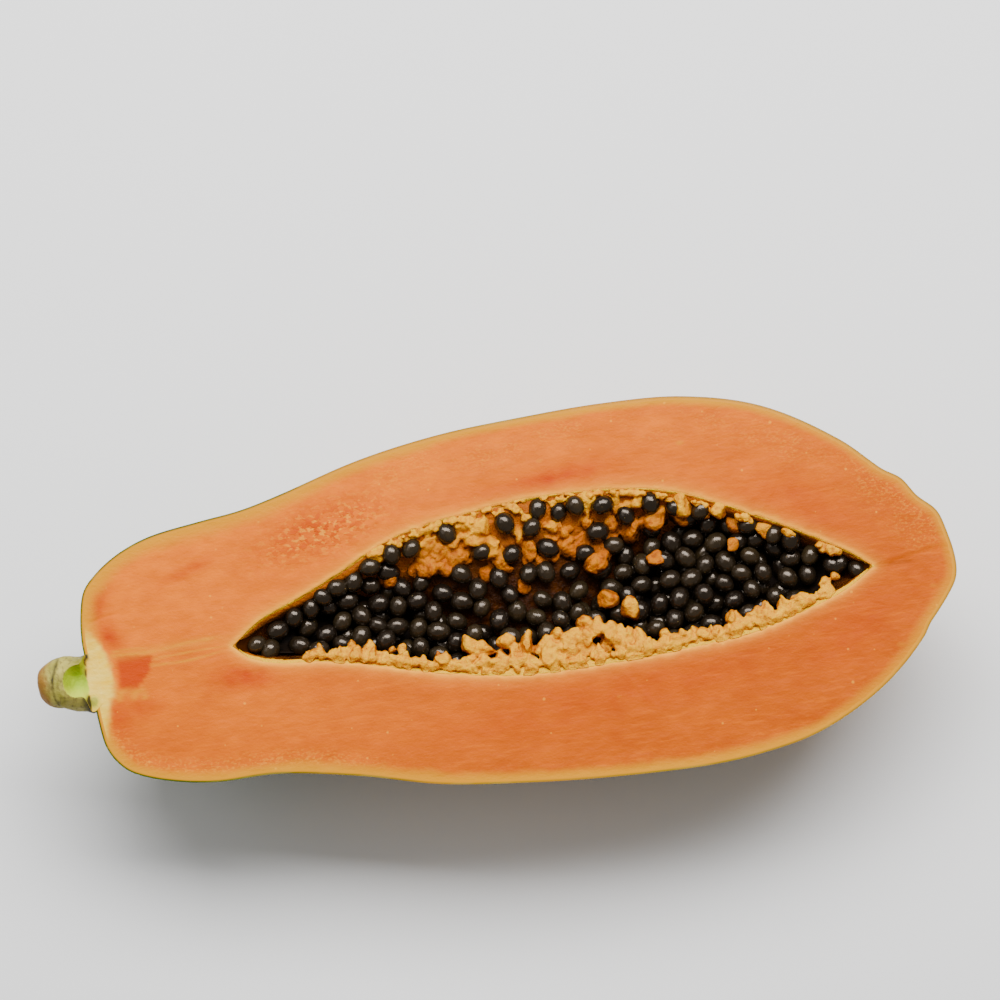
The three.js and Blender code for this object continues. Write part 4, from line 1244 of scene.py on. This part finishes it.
def voxel_skin(shapes, face):
    """One closed skin of voxels round many shapes of the same faces: its points and their normals in the
    fruit frame, and its faces."""
    faces = (face[None] + (np.arange(len(shapes)) * shapes.shape[1])[:, None, None]).reshape(-1, 3)
    rough = bpy.data.meshes.new("rough_crumbs")
    rough.from_pydata(placed(shapes.reshape(-1, 3)).tolist(), [], faces.tolist())
    holder = bpy.data.objects.new("rough_crumbs", rough)
    bpy.context.scene.collection.objects.link(holder)
    remesh = holder.modifiers.new("voxels", "REMESH")
    remesh.mode = "VOXEL"
    remesh.voxel_size = CRUMB_VOXEL * MM
    skin = bpy.data.meshes.new_from_object(holder.evaluated_get(bpy.context.evaluated_depsgraph_get()))
    bpy.data.objects.remove(holder)
    co = np.empty(len(skin.vertices) * 3, np.float32)
    skin.vertices.foreach_get("co", co)
    normal = np.empty_like(co)
    skin.vertex_normals.foreach_get("vector", normal)
    fruit = (co.reshape(-1, 3).astype(float) - SHIFT) / MM
    return fruit, normal.reshape(-1, 3).astype(float), [list(p.vertices) for p in skin.polygons]


def make_pulp(name, fruit, normal, faces):
    """A piece of pulp from a skin of voxels: roughened along its normals by layered noise, held between the
    cavity's edges and under a rough cap that rises from them; painted shade and painted light follow slope
    and depth."""
    lift = 0.27 * layered_noise(fruit, 1.1, 41, 2)
    fruit = fruit + normal * lift[:, None]
    middle, half, _ = cavity_at(fruit[:, 0], 0)
    inside = half - np.abs(fruit[:, 1] - middle)
    fruit[:, 1] = np.clip(fruit[:, 1], middle - half - 0.5, middle + half + 0.4)
    cap = 0.3 * layered_noise(fruit * [1, 1, 0], 1.4, 44) + 1.3 * smooth(-0.2, 2.0, inside) - 0.05
    fruit[:, 2] = np.minimum(fruit[:, 2], np.minimum(cap, 1.3))
    depth = -fruit[:, 2]
    steep = smooth(0.75, 0.1, normal[:, 2]) + 0.8 * smooth(1.5, 9, depth)
    # Painted light: raised bumps and upward faces near the top are coloured paler cream
    cream_and_lit = smooth(0.0, 0.2, lift) * 0.4 + 0.4 * smooth(0.5, 1.0, normal[:, 2])
    cream_and_lit = cream_and_lit * smooth(7, 2, depth)
    # Painted shade: steep, sunken and deeper parts are coloured darker orange to brown
    painted_shade = smooth(-0.02, -0.2, lift) * 0.3 + 0.4 * steep + 0.35 * smooth(0.2, 2.6, depth)
    return make_piece(name, placed(fruit), faces_as_lists(faces), PULP, ["seed_bed"],
                      weld=False, values={"painted_shade": np.clip(painted_shade, 0, 1), "cream_and_lit": np.clip(cream_and_lit, 0, 1)})


def make_crumbs(banked, pits):
    """Crumbly pulp: craggy chunks at the lumps' places with smaller ones among them, clear of the pits and
    of the seeds on the bank. Chunks of the near rim are smaller where its band is narrow, and lean over
    the seeds by a random share of their size. Each side is joined into one skin of voxels."""
    draw = np.random.default_rng(CHUNK_DRAW)
    lumps = lump_places(LUMP_ROWS)
    lone = np.array([(x, y, -float(heap_depth(x, y)) + 0.25 * size, size, x) for x, y, size in LONE_LUMPS])
    small = lump_places(CRUMB_ROWS)
    spots = np.vstack([banked[:, :2], pits])
    apart = np.linalg.norm(small[:, None, :2] - spots[None], axis=-1).min(1)
    small = small[apart > 2.3 + 0.5 * small[:, 3]]
    near_rim = lumps[:, 1] < cavity_at(lumps[:, 0], 0)[0]
    lumps[near_rim, 3] *= 0.35 + 0.6 * np.minimum(band_width(lumps[near_rim, 0]), 1)
    chunks = np.vstack([lumps, lone, small])
    size = chunks[:, 3, None]
    shape, face = craggy_shapes(chunks[:, 3], draw)
    in_front = chunks[:, 1] < cavity_at(chunks[:, 0], 0)[0]
    leaning = in_front.copy()
    leaning[len(lumps):len(lumps) + len(lone)] = False
    ahead = np.clip(shape[..., 1] / size, 0, 1.3) * leaning[:, None] * draw.random((len(chunks), 1))
    aside = 1.6 * (draw.random((len(chunks), 1)) - 0.5)
    shape[..., 0] = shape[..., 0] * (1 - 0.45 * ahead) + aside * ahead * size
    shape[..., 1] *= 1 + 0.4 * ahead
    points = shape + chunks[:, None, :3]
    dents = 0.3 * lattice_noise(points, 1.9, 31) + 0.16 * lattice_noise(points, 0.8, 32)
    points = points + shape / size[..., None] * dents[..., None]
    strewn = np.arange(len(chunks)) >= len(lumps) + len(lone)
    bare = strewn & (chunks[:, 0] > BARE_FROM) & (lattice_noise(chunks[:, :3] * [1, 0, 0], 5, 45) < 0.25)
    make_pulp("papaya_pulp_bank", *voxel_skin(points[~in_front & ~bare], face))
    make_pulp("papaya_pulp_rim", *voxel_skin(points[in_front], face))


def scoop_height(x, y, rough):
    """Height of the knife's scoop over the stem, low + rise (u^2 + |v|^2.5), which turns level with the cut
    face near the root and sinks under it at the end."""
    behind = np.maximum((SCOOP["x"] - x) / SCOOP["long"], 0)
    beside = (y - SCOOP["y"]) / SCOOP["wide"]
    bowl = SCOOP["low"] + SCOOP["rise"] * (behind**2 + np.abs(beside) ** 2.5 * smooth(-2.4, -4.6, x))
    bowl = bowl + 0.15 * layered_noise(rough, 2.2, 52) * smooth(-2.2, -4, x)
    return bowl - (SCOOP["low"] - 0.12) * smooth(-5.0, -3.0, x) - 0.5 * smooth(0.6, 2.2, x)


def stem_values(x, y, a, rough, scar, sliced):
    """Masks of the stem: brown tip and underside, dark ring scars and root, and on the sliced side the
    fresh scoop, paler at the front, the level root with torn fibres at its edge, and a small nub."""
    wobble = layered_noise(rough, 3.0, 53)
    corners = smooth(2, 6, np.abs(y + 0.5))
    dark = scar * (0.3 + 1.3 * wobble) + 1.2 * hill(x, -2.6, 1.3) * smooth(5.5, 7.5, np.abs(y + 1))
    torn = hill(x + 0.5 * wobble, -2.9, 0.35) * smooth(0.1, 0.5, wobble + 0.4 * corners)
    torn = torn + hill(x, -2.3, 0.5) * hill(y, 6.4, 1.2) + hill(x, -2.9, 0.5) * hill(y, -7.8, 1.6)
    nub = np.clip(1.5 * (hill(x, -1.6, 1.1) * hill(y, -7.4, 1.6) * (1 + wobble)), 0, 0.85)
    return {"tip": smooth(-12.0, -16.5, x + 2.2 * wobble) * 0.9,
            "scar": np.clip(dark, 0, 1) * (1 - sliced),
            "torn": np.clip(torn, 0, 1) * sliced,
            "sliced": sliced * (1 - 0.75 * nub),
            "level": smooth(-3.3, -2.7, x + 0.7 * wobble) * sliced * (1 - nub),
            "pale": smooth(-1.5, -5.5, y) * sliced * (1 - nub),
            "brown": smooth(0.1, -0.5, np.sin(a) + 0.4 * wobble)}


def make_stem():
    """Stem: rings along its axis, whose radii swell by 5% of sin 3a in three ridges, with ring scars and
    noise; the tip is rounded, the root narrows into the flesh, and the scoop cuts its upper side."""
    stations, sides = 130, 144
    rings = np.array(STEM_RINGS)[::-1]
    x_tip = rings[0, 0] + 0.02
    share = np.linspace(0, 1, stations)
    x = x_tip + (STEM_ROOT - x_tip) * (0.3 * share + 0.7 * share**1.4)
    cy, cz, wide, high = (curve_at(rings[:, [0, k]].tolist(), x)[:, None] for k in (1, 2, 3, 4))
    x = x[:, None]
    end = np.sqrt(np.clip((x - x_tip) / STEM_ROUND, 0, 1))
    narrow = 1 - STEM_NARROW * smooth(-STEM_ROOT, STEM_ROOT, x)
    a = 2 * np.pi * np.arange(sides)[None, :] / sides
    rough = np.stack(np.broadcast_arrays(x, 8 * np.cos(a), 8 * np.sin(a)), -1)
    scar = hill(x, -11.8 + 1.1 * np.sin(a * 2 + 1), 0.5) + 0.8 * hill(x, -3.4 + 0.8 * np.sin(a + 2), 0.7)
    knot = 1 + 0.05 * np.sin(3 * a + 0.5 * x)
    knot = knot * (1 + 0.03 * layered_noise(rough, 3.0, 51) - 0.014 * scar) * 0.985
    y = cy + wide * end * narrow * knot * np.cos(a)
    z = cz + high * end * knot * np.sin(a)
    bowl = scoop_height(x, y, rough)
    sliced = smooth(-0.05, 0.15, z - bowl)
    z = np.minimum(np.minimum(z, bowl), STEM_TOP)
    grid = np.stack(np.broadcast_arrays(x, y, z), -1)
    values = stem_values(x, y, a, rough, scar, sliced)
    values = {key: np.broadcast_to(value, (stations, sides)).reshape(-1) for key, value in values.items()}
    return make_piece("papaya_stem", placed(grid.reshape(-1, 3)), capped_faces(stations, sides),
                      stem_finish(), ["stem"], sharp=50, values=values)


# Camera, floor and lights


def make_camera():
    """Camera at the photograph's angle, looking down at the cut face."""
    turn, height = math.radians(CAMERA_TURN), math.radians(CAMERA_HEIGHT)
    back = Vector((math.sin(turn) * math.cos(height), -math.cos(turn) * math.cos(height), math.sin(height)))
    data = bpy.data.cameras.new("camera")
    data.sensor_width = SENSOR_MM
    data.lens = FOCAL_PIXELS / FRAME_PIXELS * SENSOR_MM
    data.clip_start = NEAREST_SEEN
    camera = bpy.data.objects.new("camera", data)
    bpy.context.scene.collection.objects.link(camera)
    camera.location = Vector(placed([*AIM, 0]).tolist()) + back * CAMERA_AWAY
    camera.rotation_mode = "QUATERNION"
    camera.rotation_quaternion = (-back).to_track_quat("-Z", "Y")
    bpy.context.scene.camera = camera


def make_floor():
    """A plain pale floor, wide enough for every view."""
    mesh = bpy.data.meshes.new("floor")
    corners = [(-1, -1), (1, -1), (1, 1), (-1, 1)]
    mesh.from_pydata([(x * FLOOR_HALF, y * FLOOR_HALF, -FLOOR_DROP) for x, y in corners], [], [(0, 1, 2, 3)])
    floor = bpy.data.objects.new("floor", mesh)
    bpy.context.scene.collection.objects.link(floor)
    material = bpy.data.materials.new("floor")
    material.use_nodes = True
    shader = material.node_tree.nodes["Principled BSDF"]
    shader.inputs["Base Color"].default_value = FLOOR_WHITE
    shader.inputs["Roughness"].default_value = 0.8
    mesh.materials.append(material)


def make_lamp(name, turn, height, away, wide, tall, radiance):
    """A soft box aimed at the fruit from a turn to the left of straight behind and a height, in degrees;
    its power is the radiance times pi times its area."""
    data = bpy.data.lights.new(name, "AREA")
    data.shape = "RECTANGLE"
    data.size = wide
    data.size_y = tall
    data.energy = radiance * math.pi * wide * tall
    lamp = bpy.data.objects.new(name, data)
    bpy.context.scene.collection.objects.link(lamp)
    turn, height = math.radians(turn), math.radians(height)
    level = math.cos(height)
    towards = Vector((-math.sin(turn) * level, math.cos(turn) * level, math.sin(height)))
    lamp.location = towards * away
    lamp.rotation_mode = "QUATERNION"
    lamp.rotation_quaternion = (-towards).to_track_quat("-Z", "Y")


def make_light():
    """Soft white surroundings, a broad soft box behind and a faint one on the left."""
    world = bpy.data.worlds.new("world")
    world.use_nodes = True
    surroundings = world.node_tree.nodes["Background"]
    surroundings.inputs["Color"].default_value = (1, 1, 1, 1)
    surroundings.inputs["Strength"].default_value = WORLD_LIGHT
    bpy.context.scene.world = world
    for name, lamp in LAMPS.items():
        make_lamp(name, *lamp)


make_camera()
make_floor()
make_light()
PULP = pulp_finish()
make_skin()
make_flesh()
top_seeds = make_seeds()
on_the_bank = top_seeds[top_seeds[:, 7] == 1]
pit_spots = pit_places(on_the_bank)
make_lining(pit_spots)
make_crumbs(on_the_bank, pit_spots)
make_shade_body()
make_stem()

bpy.context.view_layer.update()
